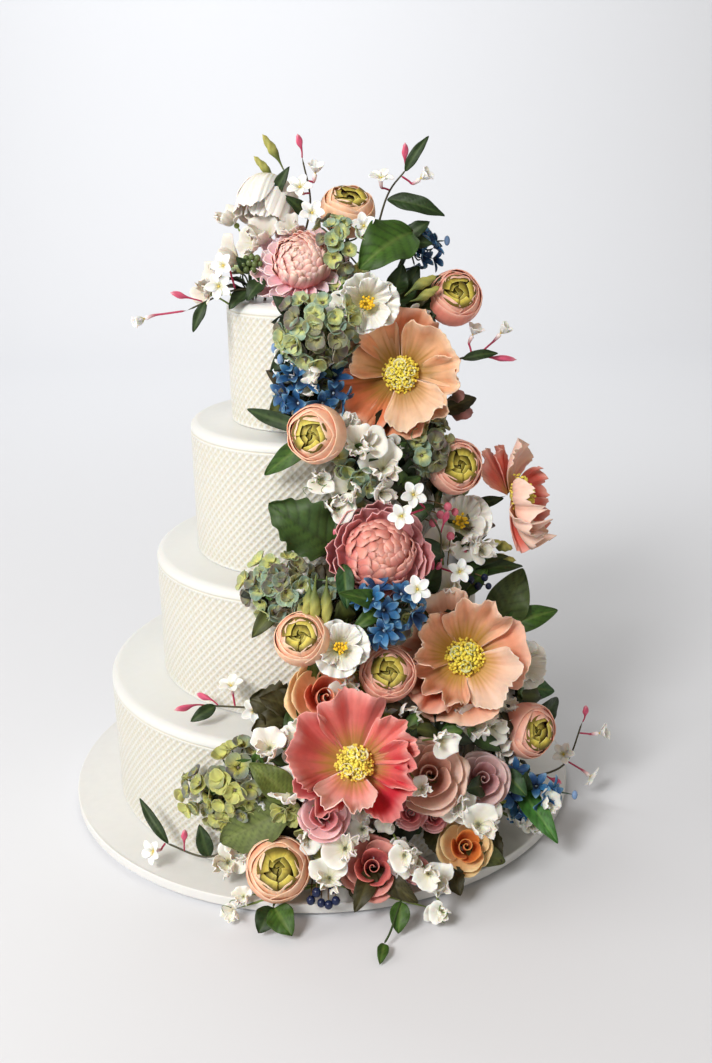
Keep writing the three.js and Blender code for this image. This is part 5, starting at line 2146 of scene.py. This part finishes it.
PEONIES = (
    Peony("peony_top", "pink", (-5, -38, 428), (-4, 42), 33, count=150, swirl=22, ball=0.66, ring=15,
          stand=0.85, swell=0.7, hollow=0.3, skirt=((0.2, -0.42), (0.7, -0.62), (0.98, -0.5), (1.16, -0.2)),
          outer=Palette((236, 146, 164), (253, 210, 218), (255, 238, 240), (246, 172, 186), 0.3, 0.26, 0.2,
                        0.7),
          inner=Palette((218, 100, 96), (248, 188, 170), (255, 226, 212), (236, 144, 152), 0.42, 0.16, 0.2,
                        0.7),
          blade=Blade(16, 3.9, lean=8, curl=66, cup=0.6, blunt=1.3, point=0.5, rows=8, columns=5)),
    Peony("peony_middle", "dusty_pink", (43, -121, 236), (6, 20), 37, count=92, swirl=14, ball=0.72,
          stand=0.8,
          outer=Palette((182, 96, 104), (228, 162, 164), (240, 196, 196), (206, 122, 130), 0.3, 0.14, 0.2,
                        0.4),
          inner=Palette((172, 66, 54), (226, 146, 128), (252, 204, 190), (200, 96, 100), 0.46, 0.12, 0.2,
                        0.5),
          blade=Blade(18, 6.4, lean=8, curl=72, cup=0.55, blunt=1.6, point=0.42, rows=9, columns=9)),
)

LISIANTHUS = (
    Lisianthus("lisianthus_upper", "white", (39, -74, 403), (0, 8), 21.5),
    Lisianthus("lisianthus_middle", "white", (14, -158, 183), (3, 26), 19.5, heart=(84, 92, 44), roll=12),
    Lisianthus("lisianthus_right", "white", (109, -50, 236), (-2, 30), 23.5, roll=20),
    # lisianthus_top's palette is a darker cream as well: painted shade on a flower that faces the key lamp.
    Lisianthus("lisianthus_top", "white", (-29, 2, 466), (-40, -58), 21, form=Form.BELL, roll=8, seat=0.8,
               palette=Palette((204, 198, 160), (230, 225, 218), (243, 237, 231), (220, 200, 194), 0.3, 0.1,
                               0.4)),
    Lisianthus("lisianthus_lower", "white", (157, -72, 127), (30, 24), 19, roll=25),
)

ROSES = (
    Rose("rose_apricot", "apricot", (2, -147, 141), (12, 28), 24,
         outer=Palette((240, 170, 104), (252, 212, 160), (255, 232, 200), (244, 166, 112), 0.25, 0.08),
         inner=Palette((210, 92, 60), (244, 152, 118), (252, 192, 158), (222, 100, 78), 0.3, 0.1)),
    Rose("rose_small_pink", "pink", (0, -196, 76), (0, 38), 16,
         outer=Palette((236, 166, 166), (253, 210, 212), (255, 226, 226), (240, 156, 164), 0.25, 0.08),
         inner=Palette((216, 104, 116), (244, 166, 170), (252, 200, 200), (220, 104, 118), 0.3, 0.1)),
    Rose("rose_blush", "blush", (73, -180, 95), (-4, 38), 24,
         outer=Palette((224, 178, 158), (246, 210, 194), (253, 224, 210), (222, 164, 150), 0.25, 0.08),
         inner=Palette((204, 132, 112), (238, 186, 166), (248, 208, 190), (206, 130, 118), 0.3, 0.1)),
    Rose("rose_mauve", "mauve", (113, -152, 74), (4, 38), 19,
         outer=Palette((206, 164, 160), (234, 204, 202), (244, 220, 216), (206, 158, 162), 0.25, 0.08),
         inner=Palette((186, 118, 124), (222, 176, 176), (238, 202, 198), (186, 116, 128), 0.3, 0.1),
         leaves=(dark((112, -155, 71), (98, -174, 80), 16),)),
    Rose("rose_coral", "coral", (32, -202, 38), (-2, 38), 20,
         outer=Palette((200, 104, 104), (240, 170, 156), (250, 198, 182), (196, 100, 106), 0.25, 0.08),
         inner=Palette((160, 56, 70), (224, 118, 108), (238, 156, 136), (164, 62, 80), 0.3, 0.1),
         leaves=(brown((32, -197, 34), (18, -222, 17), 15),
                 brown((32, -197, 34), (62, -214, 17), 15))),
    Rose("rose_amber", "amber", (98, -179, 37), (4, 38), 18,
         outer=Palette((238, 176, 104), (250, 218, 164), (255, 232, 194), (240, 176, 104), 0.25, 0.08),
         inner=Palette((200, 88, 28), (230, 136, 60), (246, 184, 112), (196, 78, 30), 0.3, 0.1),
         leaves=(Leaf((98, -175, 34), (128, -172, 19), 16, (0, 30), OLIVE, OLIVE_VEIN),)),
)

LEAF_SPRAYS = (
    LeafSpray("leaf_top", "leaf", ((70, -22, 434), (74, -30, 446)),
              (green((74, -30, 446), (34, -58, 424), 38, (-4, 34), veins=7),)),
    LeafSpray("leaf_middle", "dark_leaf", ((14, -100, 234), (10, -104, 239)),
              (Leaf((12, -105, 236), (-33, -105, 271), 40, (0, 24), (62, 90, 36), (36, 50, 24), 7, 0.1,
                    wave=0.12),)),
    LeafSpray("leaves_right", "leaf", ((130, -28, 132), (140, -30, 137)),
              (Leaf((140, -30, 137), (162, -20, 185), 34, (-10, 20), (84, 104, 54), (104, 124, 66), 7),
               Leaf((140, -30, 137), (190, -24, 150), 20, (0, 30), arch=0.24))),
    LeafSpray("leaf_lower_left", "leaf", ((-18, -180, 76), (-24, -186, 76)),
              (Leaf((-22, -186, 77), (-73, -172, 43), 34, (0, 34), (102, 116, 56), (126, 136, 82), 9,
                    0.03),)),
    LeafSpray("leaves_front", "leaf", ((-34, -190, 13.6), (-37, -209, 14)),
              (dark((-37, -209, 14), (-47, -224, 5), 17, (0, 40)),
               green((-36, -209, 14), (-24, -230, 6), 20, (0, 40))), foot=False),
    LeafSpray("leaf_hanging", "leaf", ((57, -196, 17), (51, -212, 20), (42, -232, 9), (37, -240, 5)),
              (green((50, -214, 19), (47, -229, 4), 14, (0, 40)),
               green((37, -240, 5), (33, -257, 1.8), 8, (0, 40))), foot=False),
    LeafSpray("leaves_brown", "brown_leaf", ((-14, -128, 126), (-18, -137, 124)),
              (brown((-18, -137, 124), (-51, -132, 134), 32, (0, 40), 7, teeth=0.12, wave=0.12),
               brown((-18, -137, 124), (-50, -152, 119), 20, (0, 40), 7, teeth=0.12, wave=0.12))),
)

SWEET_PEAS = (
    SweetPeas("sweet_peas_top", "white", (-44, 0, 432), (
        Pea((-59, 14, 455), 13, (-60, 40), palette=CREAM_PAINTED_SHADE),
        Pea((-60, -6, 427), 18, (-60, 10), 40, CREAM_PAINTED_SHADE),
        Pea((-40, -20, 440), 13, (-30, 10), 80, CREAM_PAINTED_SHADE))),
    SweetPeas("sweet_peas_upper", "white", (36, -100, 294), (
        Pea((30, -112, 311), 15, (-5, 20)), Pea((48, -110, 295), 18, (5, 20), 30),
        Pea((24, -110, 280), 14, (-10, 10), 70))),
    SweetPeas("sweet_peas_left", "white", (-34, -172, 96), (
        Pea((-37, -182, 121), 14, (-10, 30)), Pea((-22, -195, 95), 18, (-10, 40), 30),
        Pea((-55, -178, 90), 10, (-50, 20), 10))),
    SweetPeas("sweet_peas_front", "white", (8, -192, 50), (
        Pea((14, -205, 57), 16, (0, 40), 90), Pea((2, -214, 38), 15, (0, 30)))),
    SweetPeas("sweet_peas_front_right", "white", (68, -194, 34), (
        Pea((58, -202, 44), 15, (-6, 30), 90), Pea((76, -208, 27), 14, (0, 30), 20),
        Pea((78, -219, 12), 9, (0, 20), 70))),
    SweetPeas("sweet_peas_right", "white", (106, -158, 46), (
        Pea((113, -168, 50), 16, (10, 50)), Pea((92, -184, 74), 14, (-4, 20), 90))),
)

JASMINE = (
    Jasmine("jasmine_top_right", "jasmine", ((44, -12, 420), (56, -15, 468), (71, -15, 489)),
            (Star((52, -25, 483), (-10, 60)), Star((81, -15, 482), (60, 30), shut=34),
             Star((39, -41, 452), (-10, 20))),
            (((71, -15, 488), (70, -15, 507)),),
            (dark((70, -15, 487), (87, -15, 511), 8), dark((57, -15, 468), (98, -20, 456), 14))),
    Jasmine("jasmine_top_left", "jasmine", ((-6, -6, 430), (2, -10, 466), (-3, -10, 498)),
            (Star((6, -12, 487), (20, 60), shut=40), Star((3, -36, 461), (0, 30)),
             Star((-5, -24, 478), (-20, 40))),
            (((-3, -10, 497), (-6, -10, 514)),),
            (dark((0, -8, 456), (-17, -14, 472), 10),)),
    Jasmine("jasmine_left", "jasmine", ((-34, -26, 404), (-54, -38, 409), (-88, -42, 396)),
            (Star((-60, -44, 427), (-30, 20)), Star((-64, -46, 413), (-10, 10)),
             Star((-118, -42, 391), (-62, -14), shut=52)),
            (((-76, -41, 402), (-99, -42, 409)),),
            (dark((-74, -41, 402), (-84, -46, 381), 8),)),
    Jasmine("jasmine_right", "jasmine", ((86, -38, 336), (105, -35, 354), (122, -30, 357)),
            (Star((118, -30, 372), (40, 60), shut=34), Star((140, -20, 371), (60, 50), shut=40)),
            (((121, -30, 357), (152, -25, 352)),),
            (dark((110, -34, 355), (137, -30, 358), 8),)),
    Jasmine("jasmine_middle", "jasmine", ((88, -88, 216), (88, -98, 242), (76, -112, 266)),
            (Star((67, -118, 278), (0, 20)), Star((58, -131, 267), (-10, 20)),
             Star((102, -98, 213), (10, 30))),
            (((88, -98, 242), (94, -92, 258)),), ()),
    Jasmine("jasmine_middle_left", "jasmine", ((-24, -130, 122), (-51, -126, 124), (-84, -122, 125)),
            (Star((-48, -134, 125), (0, 40)), Star((-64, -127, 142), (-20, 70))),
            (((-82, -122, 125), (-105, -132, 127)), ((-74, -123, 125), (-91, -108, 128))),
            (dark((-76, -123, 125), (-94, -131, 117), 10),)),
    Jasmine("jasmine_lower_left", "jasmine", ((-62, -158, 30), (-87, -157, 22), (-116, -145, 27)),
            (Star((-124, -152, 25), (-40, 20)),),
            (((-102, -152, 24), (-101, -150, 41)),),
            (dark((-84, -157, 22), (-90, -152, 46), 12), dark((-114, -146, 27), (-136, -122, 51), 8))),
    Jasmine("jasmine_lower_right", "jasmine", ((160, -82, 34), (192, -65, 35), (207, -55, 67)),
            (Star((222, -50, 53), (60, 20), shut=30), Star((189, -72, 47), (-20, 50)),
             Star((214, -60, 20), (60, -30))),
            (((207, -55, 66), (209, -55, 81)), ((172, -76, 34), (187, -80, 26))), ()),
)

BLUE_PETAL = Blade(14, 3.5, lean=44, curl=-34, cup=0.45, blunt=1.15, point=0.7, rows=8, columns=5)
ROUND_PETAL = Blade(10.5, 6.0, lean=56, curl=-14, cup=0.46, blunt=1.35, point=0.5, rows=6, columns=7)
BLUES = (
    Palette((16, 34, 70), (26, 90, 148), (116, 174, 208), (14, 44, 88), 0.25, 0.16),
    Palette((24, 46, 84), (48, 120, 172), (146, 194, 218), (22, 64, 116), 0.25, 0.16),
)
TEALS = (
    Palette((216, 216, 132), (166, 192, 166), (134, 166, 152), (78, 106, 100), 0.5, 0.16),
    Palette((226, 222, 128), (204, 212, 146), (160, 180, 140), (92, 116, 88), 0.55, 0.16),
    Palette((164, 160, 110), (122, 130, 108), (112, 92, 96), (94, 82, 80), 0.5, 0.18),
)
LIMES = (
    Palette((224, 222, 126), (212, 214, 126), (168, 178, 108), (128, 126, 80), 0.55, 0.14),
    Palette((214, 212, 124), (190, 198, 122), (140, 152, 110), (116, 112, 92), 0.55, 0.16),
    Palette((190, 184, 84), (142, 158, 122), (104, 112, 122), (92, 88, 98), 0.45, 0.2),
)


def blue(node: str, root: Spot, knot: float, petals: int, facing: Facing,
         spots: tuple[tuple[Spot, float], ...],
         tips: tuple[Spot, ...] = (), leaves: tuple[Leaf, ...] = ()) -> Cluster:
    """Plans a cluster of blue florets.

    Args:
        node: Its node.
        root: Where the knot stands.
        knot: The knot's width.
        petals: The petals of a floret.
        facing: The way it faces.
        spots: The middle and the radius of each tuft.
        tips: The tips of its buds.
        leaves: Its leaves.

    Returns:
        The cluster.
    """
    florets = tuple(Floret(at, radius) for at, radius in spots)
    return Cluster(node, "blue", root, petals, facing, florets, BLUES, BLUE_PETAL, tips, leaves,
                   eye=(180, 196, 210), stem_tint=(52, 70, 60), crowd=4, share=0.86, loose=0.9, knot=knot)


def hydrangea(node: str, slot: str, root: Spot, knot: float, facing: Facing,
              spots: tuple[tuple[Spot, float], ...], palettes: tuple[Palette, ...] = TEALS) -> Cluster:
    """Plans a hydrangea head, its florets with four round petals.

    Args:
        node: Its node.
        slot: The name of the cluster's material slot.
        root: Where the knot stands.
        knot: The knot's width.
        facing: The way it faces.
        spots: The middle and the radius of each tuft.
        palettes: The petals' colours.

    Returns:
        The cluster.
    """
    florets = tuple(Floret(at, radius) for at, radius in spots)
    fine = palettes is LIMES
    return Cluster(node, slot, root, 4, facing, florets, palettes, ROUND_PETAL, eye=(120, 110, 90),
                   crowd=10 if fine else 8, share=0.52 if fine else 0.66, loose=1.6 if fine else 1.5,
                   knot=knot)


CLUSTERS = (
    blue("blue_top", (74, -4, 433), 6, 5, (30, 30),
         (((80, -4, 442), 8), ((92, 0, 432), 9), ((82, -8, 425), 8)), ((102, 0, 437),)),
    blue("blue_upper", (-4, -70, 342), 7, 5, (-20, 20),
         (((-14, -78, 353), 12), ((-10, -82, 336), 12), ((14, -80, 342), 12)),
         ((-26, -72, 373), (-22, -76, 366))),
    blue("blue_middle", (46, -136, 204), 8, 6, (0, 30),
         (((37, -148, 214), 10), ((63, -140, 210), 10), ((44, -151, 192), 10)), (),
         (green((46, -136, 204), (13, -160, 224), 14), green((46, -136, 204), (22, -150, 192), 12))),
    blue("blue_lower", (146, -118, 46), 8, 5, (20, 40),
         (((134, -132, 62), 10), ((148, -126, 34), 10), ((164, -132, 50), 11)), ((184, -137, 50),),
         (Leaf((146, -118, 46), (168, -160, 24), 18, (0, 30), (70, 128, 52), (120, 160, 80)),
          dark((146, -118, 46), (146, -146, 76), 14))),
    hydrangea("hydrangea_upper", "hydrangea", (6, -72, 388), 11, (0, 16),
              (((-10, -82, 394), 13), ((4, -90, 382), 13), ((-8, -84, 374), 12), ((16, -88, 396), 12),
               ((18, -80, 376), 12))),
    hydrangea("hydrangea_crown", "hydrangea", (22, -40, 440), 6, (0, 40),
              (((16, -44, 452), 10), ((28, -50, 436), 11))),
    hydrangea("hydrangea_middle", "hydrangea", (-26, -122, 218), 9, (-5, 30),
              (((-42, -126, 220), 12), ((-26, -132, 229), 12), ((-12, -134, 220), 12),
               ((-28, -134, 208), 12))),
    hydrangea("hydrangea_lower", "olive", (-60, -166, 88), 10, (-10, 40),
              (((-58, -176, 104), 18), ((-94, -160, 79), 14), ((-70, -172, 76), 14), ((-76, -168, 60), 12),
               ((-52, -182, 80), 11)), LIMES),
    hydrangea("hydrangea_right", "hydrangea", (82, -66, 300), 8, (16, 20),
              (((86, -72, 306), 12), ((76, -82, 296), 12), ((94, -60, 298), 10))),
)


BEAD: Colour = (226, 120, 140)


def twisted(base: Spot, tip: Spot, width: float = 3.4) -> Bud:
    """Returns a twisted yellow-green bud."""
    return Bud(base, tip, width, 0.5, 1.2, (104, 118, 58), (172, 170, 90), (190, 180, 96))


def beads(spots: tuple[Spot, ...], radius: float = 2.4, tint: Colour = BEAD) -> tuple[Berry, ...]:
    """Returns round beads of one colour on thin stems."""
    return tuple(Berry(spot, radius, tint, (120, 96, 62)) for spot in spots)


def blossoms(*spots: tuple[Spot, float]) -> tuple[Pea, ...]:
    """Returns white blossoms that face the front, each given by its spot and its radius."""
    return tuple(Pea(at, radius, (math.degrees(math.atan2(at[0], -at[1])) * 0.5, 25.0), 47.0 * k, fine=False)
                 for k, (at, radius) in enumerate(spots))


def rosebud(at: Spot, facing: Facing, radius: float) -> Rose:
    """Plans a small pink rose.

    Args:
        at: Where it stands.
        facing: The way it faces.
        radius: Its radius.

    Returns:
        The rose.
    """
    return Rose("", "", at, facing, radius,
                outer=Palette((214, 140, 140), (236, 178, 178), (248, 208, 204), (220, 120, 130), 0.25,
                              0.08),
                inner=Palette((204, 92, 104), (226, 128, 132), (240, 168, 166), (206, 90, 104), 0.3, 0.1))


POSIES = (
    Posy("twisted_buds", "olive", (
        twisted((-16, 0, 488), (-31, 0, 514)), twisted((-22, 5, 480), (-38, 5, 499), 3.0),
        twisted((-1, -142, 232), (-3, -148, 193), 4.2), twisted((6, -142, 230), (5, -150, 192), 4.0),
        twisted((-6, -140, 228), (-10, -148, 198), 3.6),
        twisted((66, -52, 404), (90, -44, 417), 3.8), twisted((70, -50, 400), (92, -48, 410), 3.4),
        twisted((133, -40, 214), (151, -35, 207), 4.2), twisted((121, -46, 206), (153, -40, 199), 4.0),
        twisted((118, -44, 210), (141, -44, 216), 4.0))),
    Posy("berries", "blue", beads((
        (-7, -212, 27), (-4, -214, 20), (-11, -212, 21), (4, -213, 30), (6, -215, 22), (1, -215, 19),
        (99, -78, 196), (106, -78, 193), (113, -76, 198),
        (119, -74, 192), (124, -72, 198), (127, -72, 191)), 2.8, (26, 36, 70))),
    Posy("green_berries", "leaf", beads((
        (-45, -26, 430), (-41, -28, 431), (-37, -28, 430), (-47, -27, 426), (-43, -29, 427), (-39, -29, 426),
        (-35, -28, 426), (-45, -27, 422), (-40, -29, 422)), 2.2, (94, 110, 64)), root=(-36, -16, 410)),
    Posy("pink_beads", "pink", beads((
        (8, -106, 238), (13, -106, 249), (4, -104, 246), (90, -78, 250), (96, -72, 254), (102, -66, 248),
        (84, -84, 246), (116, -52, 206), (122, -48, 202), (89, -79, 216), (98, -74, 232), (69, -95, 268),
        (110, -60, 214)), 2.9)),
    Posy("small_roses", "pink", (
        rosebud((59, -184, 69), (0, 34), 11), rosebud((76, -176, 60), (6, 34), 10),
        rosebud((61, -198, 33), (0, 34), 9))),
    Posy("white_blossoms", "white", tuple(replace(pea, palette=CREAM_PAINTED_SHADE) for pea in blossoms(
        ((-34, -14, 445), 15), ((-12, -22, 450), 11), ((-70, -10, 416), 13),
        ((-75, -37, 409), 11))) + blossoms(
        ((108, -192, 61), 15), ((66, -206, 100), 9), ((54, -214, 54), 11), ((70, -216, 41), 11),
        ((4, -108, 289), 11), ((14, -112, 270), 13), ((37, -112, 314), 13), ((-71, -172, 25), 15),
        ((-60, -174, 35), 12), ((112, -138, 111), 16), ((97, -136, 116), 13), ((126, -128, 104), 13),
        ((80, -190, 128), 12), ((91, -178, 71), 14), ((164, -141, 45), 11), ((146, -127, 24), 12),
        ((158, -128, 20), 12), ((126, -60, 216), 13), ((20, -148, 148), 13), ((60, -152, 128), 14),
        ((-12, -196, 60), 11))),
    Posy("hanging_peas", "white", (
        Pea((74, -216, 9), 8, (0, 0), 60), Pea((-65, -206, 8), 8, (-10, 0), 60),
        Pea((-58, -200, 16), 8, (-10, 20), 10)), root=(0, -186, 16)),
    Posy("tendrils", "leaf", (
        Tendril((3, -104, 288), (-6, -112, 278)), Tendril((0, -104, 292), (6, -114, 280)),
        Tendril((74, -208, 20), (80, -222, 6)), Tendril((-60, -196, 16), (-70, -208, 10)))),
    Posy("dusty_buds", "mauve", (
        Bud((96, -36, 318), (120, -26, 313), 6.5, 0.55, 0.6, (90, 70, 50), (178, 118, 112), (120, 78, 70)),
        Bud((98, -40, 326), (112, -34, 330), 5.0, 0.5, 0.6, (90, 70, 50), (196, 138, 130), (140, 90, 84)))),
    Posy("behind_leaves", "dark_leaf", (), (
        dark((70, -14, 440), (88, -14, 452), 12), dark((66, -10, 436), (90, -16, 436), 13, (20, 30)),
        dark((78, -24, 400), (96, -18, 412), 14, (20, 30)),
        dark((76, -36, 384), (92, -30, 376), 14, (20, 20)),
        dark((-32, -36, 416), (-45, -44, 402), 13, (-20, 30)),
        dark((-44, -34, 408), (-58, -42, 396), 11, (-20, 30)),
        dark((-40, -20, 420), (-52, -30, 432), 10, (-30, 20)), dark((-24, -8, 470), (-12, -14, 492), 9),
        dark((96, -54, 228), (118, -60, 206), 15, (10, 20)),
        dark((60, -90, 250), (84, -92, 262), 14, (10, 20)),
        dark((62, -34, 396), (78, -40, 424), 18, (0, 20)),
        dark((70, -30, 392), (94, -34, 416), 17, (10, 20)),
        dark((74, -30, 388), (98, -38, 398), 16, (10, 10)),
        dark((60, -40, 404), (66, -46, 426), 16, (0, 20)),
        brown((72, -30, 396), (88, -40, 408), 15, (0, 20), teeth=0.06))),
    Posy("right_filling", "dark_leaf", (
        Star((67, -150, 221), (0, 20)), Pea((93, -72, 224), 15, (0, 20), 20),
        Pea((112, -64, 222), 13, (20, 10), 150), Pea((96, -94, 200), 13, (-10, 40), 60),
        Bud((80, -84, 200), (82, -102, 226)), Bud((84, -84, 200), (88, -100, 222))), (
        dark((103, -62, 194), (158, -40, 194), 13, (0, 45)),
        dark((96, -66, 200), (146, -44, 204), 12, (0, 45)),
        dark((88, -84, 186), (118, -62, 204), 18, (0, 30)),
        dark((72, -98, 190), (88, -92, 222), 18, (0, 20)),
        dark((84, -94, 184), (112, -78, 188), 18, (0, 30)),
        dark((66, -100, 236), (92, -88, 222), 16, (10, 20)),
        green((104, -74, 184), (128, -58, 200), 14, (10, 30)))),
    Posy("brown_leaves", "brown_leaf", (), (
        brown((20, -192, 30), (23, -212, 14), 16, (0, 30), teeth=0.06),
        brown((78, -150, 40), (84, -166, 20), 20, (0, 30), teeth=0.06),
        brown((112, -152, 36), (124, -176, 19), 18, (10, 30), teeth=0.06),
        brown((86, -184, 24), (92, -204, 14), 16, (0, 30), teeth=0.06),
        brown((-10, -130, 120), (-44, -142, 140), 24, (0, 40), teeth=0.06),
        brown((94, -34, 316), (122, -26, 324), 15, (10, 30), teeth=0.06))),
    Posy("striped_leaves", "olive", (), (
        Leaf((-20, -186, 84), (-50, -184, 112), 22, (-10, 40), (104, 120, 52), (128, 138, 76), 10),
        Leaf((140, -66, 104), (184, -50, 92), 20, (20, 30), (62, 104, 50)),
        Leaf((130, -134, 70), (146, -150, 58), 16, (10, 30), (48, 84, 44)),
        Leaf((18, -126, 232), (19, -146, 206), 13, (0, 20), (44, 84, 40)))),
)


def hosts() -> tuple[tuple[Spot, float], ...]:
    """Lists the flowers and clusters that the undergrowth lies between.

    Returns:
        The middle and the radius of each.
    """
    flowers = [(flower.at, flower.radius)
               for flower in (*POPPIES, *RANUNCULUS, *PEONIES, *LISIANTHUS, *ROSES)]
    tufts = [(floret.at, 0.8 * floret.radius) for cluster in CLUSTERS for floret in cluster.florets]
    peas = [(pea.at, 0.8 * pea.radius) for sprig in SWEET_PEAS for pea in sprig.peas]
    return tuple(flowers + tufts + peas)


UNDERGROWTH = tuple(
    Undergrowth(f"undergrowth_{name}", slot, hosts(), (*POPPIES, *PEONIES, *LISIANTHUS, *ROSES), low, high,
                palettes=palettes)
    for name, slot, low, high, palettes in (
        ("base", "leaf", 0, 75, LIMES), ("lower", "dark_leaf", 75, 160, LIMES),
        ("middle", "leaf", 160, 260, TEALS), ("upper", "dark_leaf", 260, 370, TEALS),
        ("crown", "leaf", 370, 500, TEALS)))


# ---------------------------------------------------------------- the studio


@dataclass(frozen=True)
class Lamp:
    """A soft square lamp, in metres and watts, aimed at the middle of the cake or elsewhere."""

    name: str
    at: Spot
    size: float
    power: float
    colour: tuple[float, float, float] = (1.0, 1.0, 1.0)
    aim: Spot = (0.0, -0.03, 0.22)


def stand(name: str, data: bpy.types.ID, at: Spot, axes: list[Array]) -> bpy.types.Object:
    """Stands a lamp or a camera in the scene.

    Args:
        name: Its name.
        data: The lamp or the camera.
        at: Where it stands.
        axes: Its own axes: to its right, up, and back from the way it looks.

    Returns:
        Its object.
    """
    made = bpy.data.objects.new(name, data)
    made.matrix_world = Matrix.Translation(at) @ Matrix(np.column_stack(axes).tolist()).to_4x4()
    bpy.context.scene.collection.objects.link(made)
    return made


@dataclass
class Studio:
    """The plain pale floor that sweeps up behind the cake, the soft light and the camera."""

    camera_at: Spot = (0.0, -0.91606, 0.5225)
    dip: float = 0.326
    pan: float = 0.034
    tilt: float = -0.017
    focal: float = 1217.755
    picture: tuple[int, int] = (712, 1063)
    sensor: float = 36.0
    lamps: tuple[Lamp, ...] = (
        Lamp("key", (-1.2, -1.8, 1.75), 0.8, 60, (1.0, 0.98, 0.96)),
        Lamp("side", (-1.9, -0.4, 1.1), 1.2, 14, (1.0, 0.98, 0.95)),
        Lamp("backdrop", (-0.45, 1.35, 2.35), 1.6, 46, (0.96, 0.98, 1.0), (0.65, 3.2, 1.0)),
    )
    sky: tuple[float, float, float] = (1.0, 0.92, 0.79)
    sky_strength: float = 0.35
    floor: Colour = (221, 223, 228)

    def camera(self) -> None:
        """Stands the camera: its axes are the line of sight, turned by the tilt about it."""
        level = math.cos(self.dip)
        ahead = np.array([math.sin(self.pan) * level, math.cos(self.pan) * level, -math.sin(self.dip)])
        side = unit(np.cross(ahead, UP))
        top = np.cross(side, ahead)
        right = side * math.cos(self.tilt) + top * math.sin(self.tilt)
        above = top * math.cos(self.tilt) - side * math.sin(self.tilt)
        data = bpy.data.cameras.new("camera")
        data.sensor_width = self.sensor
        data.lens = self.focal * self.sensor / max(self.picture)
        data.clip_start, data.clip_end = 0.01, 100.0
        bpy.context.scene.camera = stand("camera", data, self.camera_at, [right, above, -ahead])

    def light(self) -> None:
        """Hangs the lamps and sets the even light of the room."""
        for lamp in self.lamps:
            data = bpy.data.lights.new(lamp.name, "AREA")
            data.energy, data.size, data.color = lamp.power, lamp.size, lamp.colour
            back = unit(np.array(lamp.at) - np.array(lamp.aim))
            side = unit(np.cross(UP, back))
            stand(lamp.name, data, lamp.at, [side, np.cross(back, side), back])
        world = bpy.data.worlds.new("room")
        world.use_nodes = True
        world.node_tree.nodes["Background"].inputs["Color"].default_value = (*self.sky, 1.0)
        world.node_tree.nodes["Background"].inputs["Strength"].default_value = self.sky_strength
        bpy.context.scene.world = world

    def sweep(self) -> None:
        """Lays the floor: a flat sheet that curves up into a wall behind the cake."""
        bend, far, wall, wide = 1.3, 1.9, 5.0, 7.0
        angle = np.linspace(-math.pi / 2, 0, 24)
        along = np.concatenate([[-wide], np.linspace(-2, far, 8), far + bend * np.cos(angle[1:]),
                                [far + bend]])
        height = np.concatenate([np.zeros(9), bend + bend * np.sin(angle[1:]), [wall]])
        across = np.linspace(-wide, wide, 9)
        rows, columns = len(along), len(across)
        grid = np.stack(np.broadcast_arrays(across[None], along[:, None], height[:, None]), -1)
        ids = np.arange(rows * columns).reshape(rows, columns)
        quads = np.stack([ids[:-1, :-1], ids[:-1, 1:], ids[1:, 1:], ids[1:, :-1]], -1).reshape(-1, 4)
        mesh = bpy.data.meshes.new("floor")
        mesh.from_pydata(grid.reshape(-1, 3).tolist(), [], quads.tolist())
        mesh.polygons.foreach_set("use_smooth", np.ones(len(quads), dtype=bool))
        paper = bpy.data.materials.new("pale_paper")
        paper.use_nodes = True
        shader = paper.node_tree.nodes["Principled BSDF"]
        shader.inputs["Base Color"].default_value = (*linear(self.floor), 1.0)
        shader.inputs["Roughness"].default_value = 0.9
        shader.inputs["Specular IOR Level"].default_value = 0.1
        mesh.materials.append(paper)
        made = bpy.data.objects.new("floor", mesh)
        bpy.context.scene.collection.objects.link(made)

    def build(self) -> None:
        """Sets the camera, the light and the floor."""
        self.camera()
        self.light()
        self.sweep()
        bpy.context.scene.view_settings.view_transform = "Standard"


def main() -> None:
    """Builds the studio and every piece of the cake, and logs the count of triangles."""
    logging.basicConfig(level=logging.INFO, format="%(message)s")
    Studio().build()
    pieces = (Board("cake_board", "board"), *TIERS, *POPPIES, *RANUNCULUS, *PEONIES, *LISIANTHUS,
              *ROSES, *LEAF_SPRAYS, *SWEET_PEAS, *JASMINE, *CLUSTERS, *POSIES, *UNDERGROWTH)
    total = sum(len(piece.make().data.polygons) for piece in pieces)
    log.info("all: %d pieces, %d triangles", len(pieces), total)


if __name__ == "__main__":
    main()
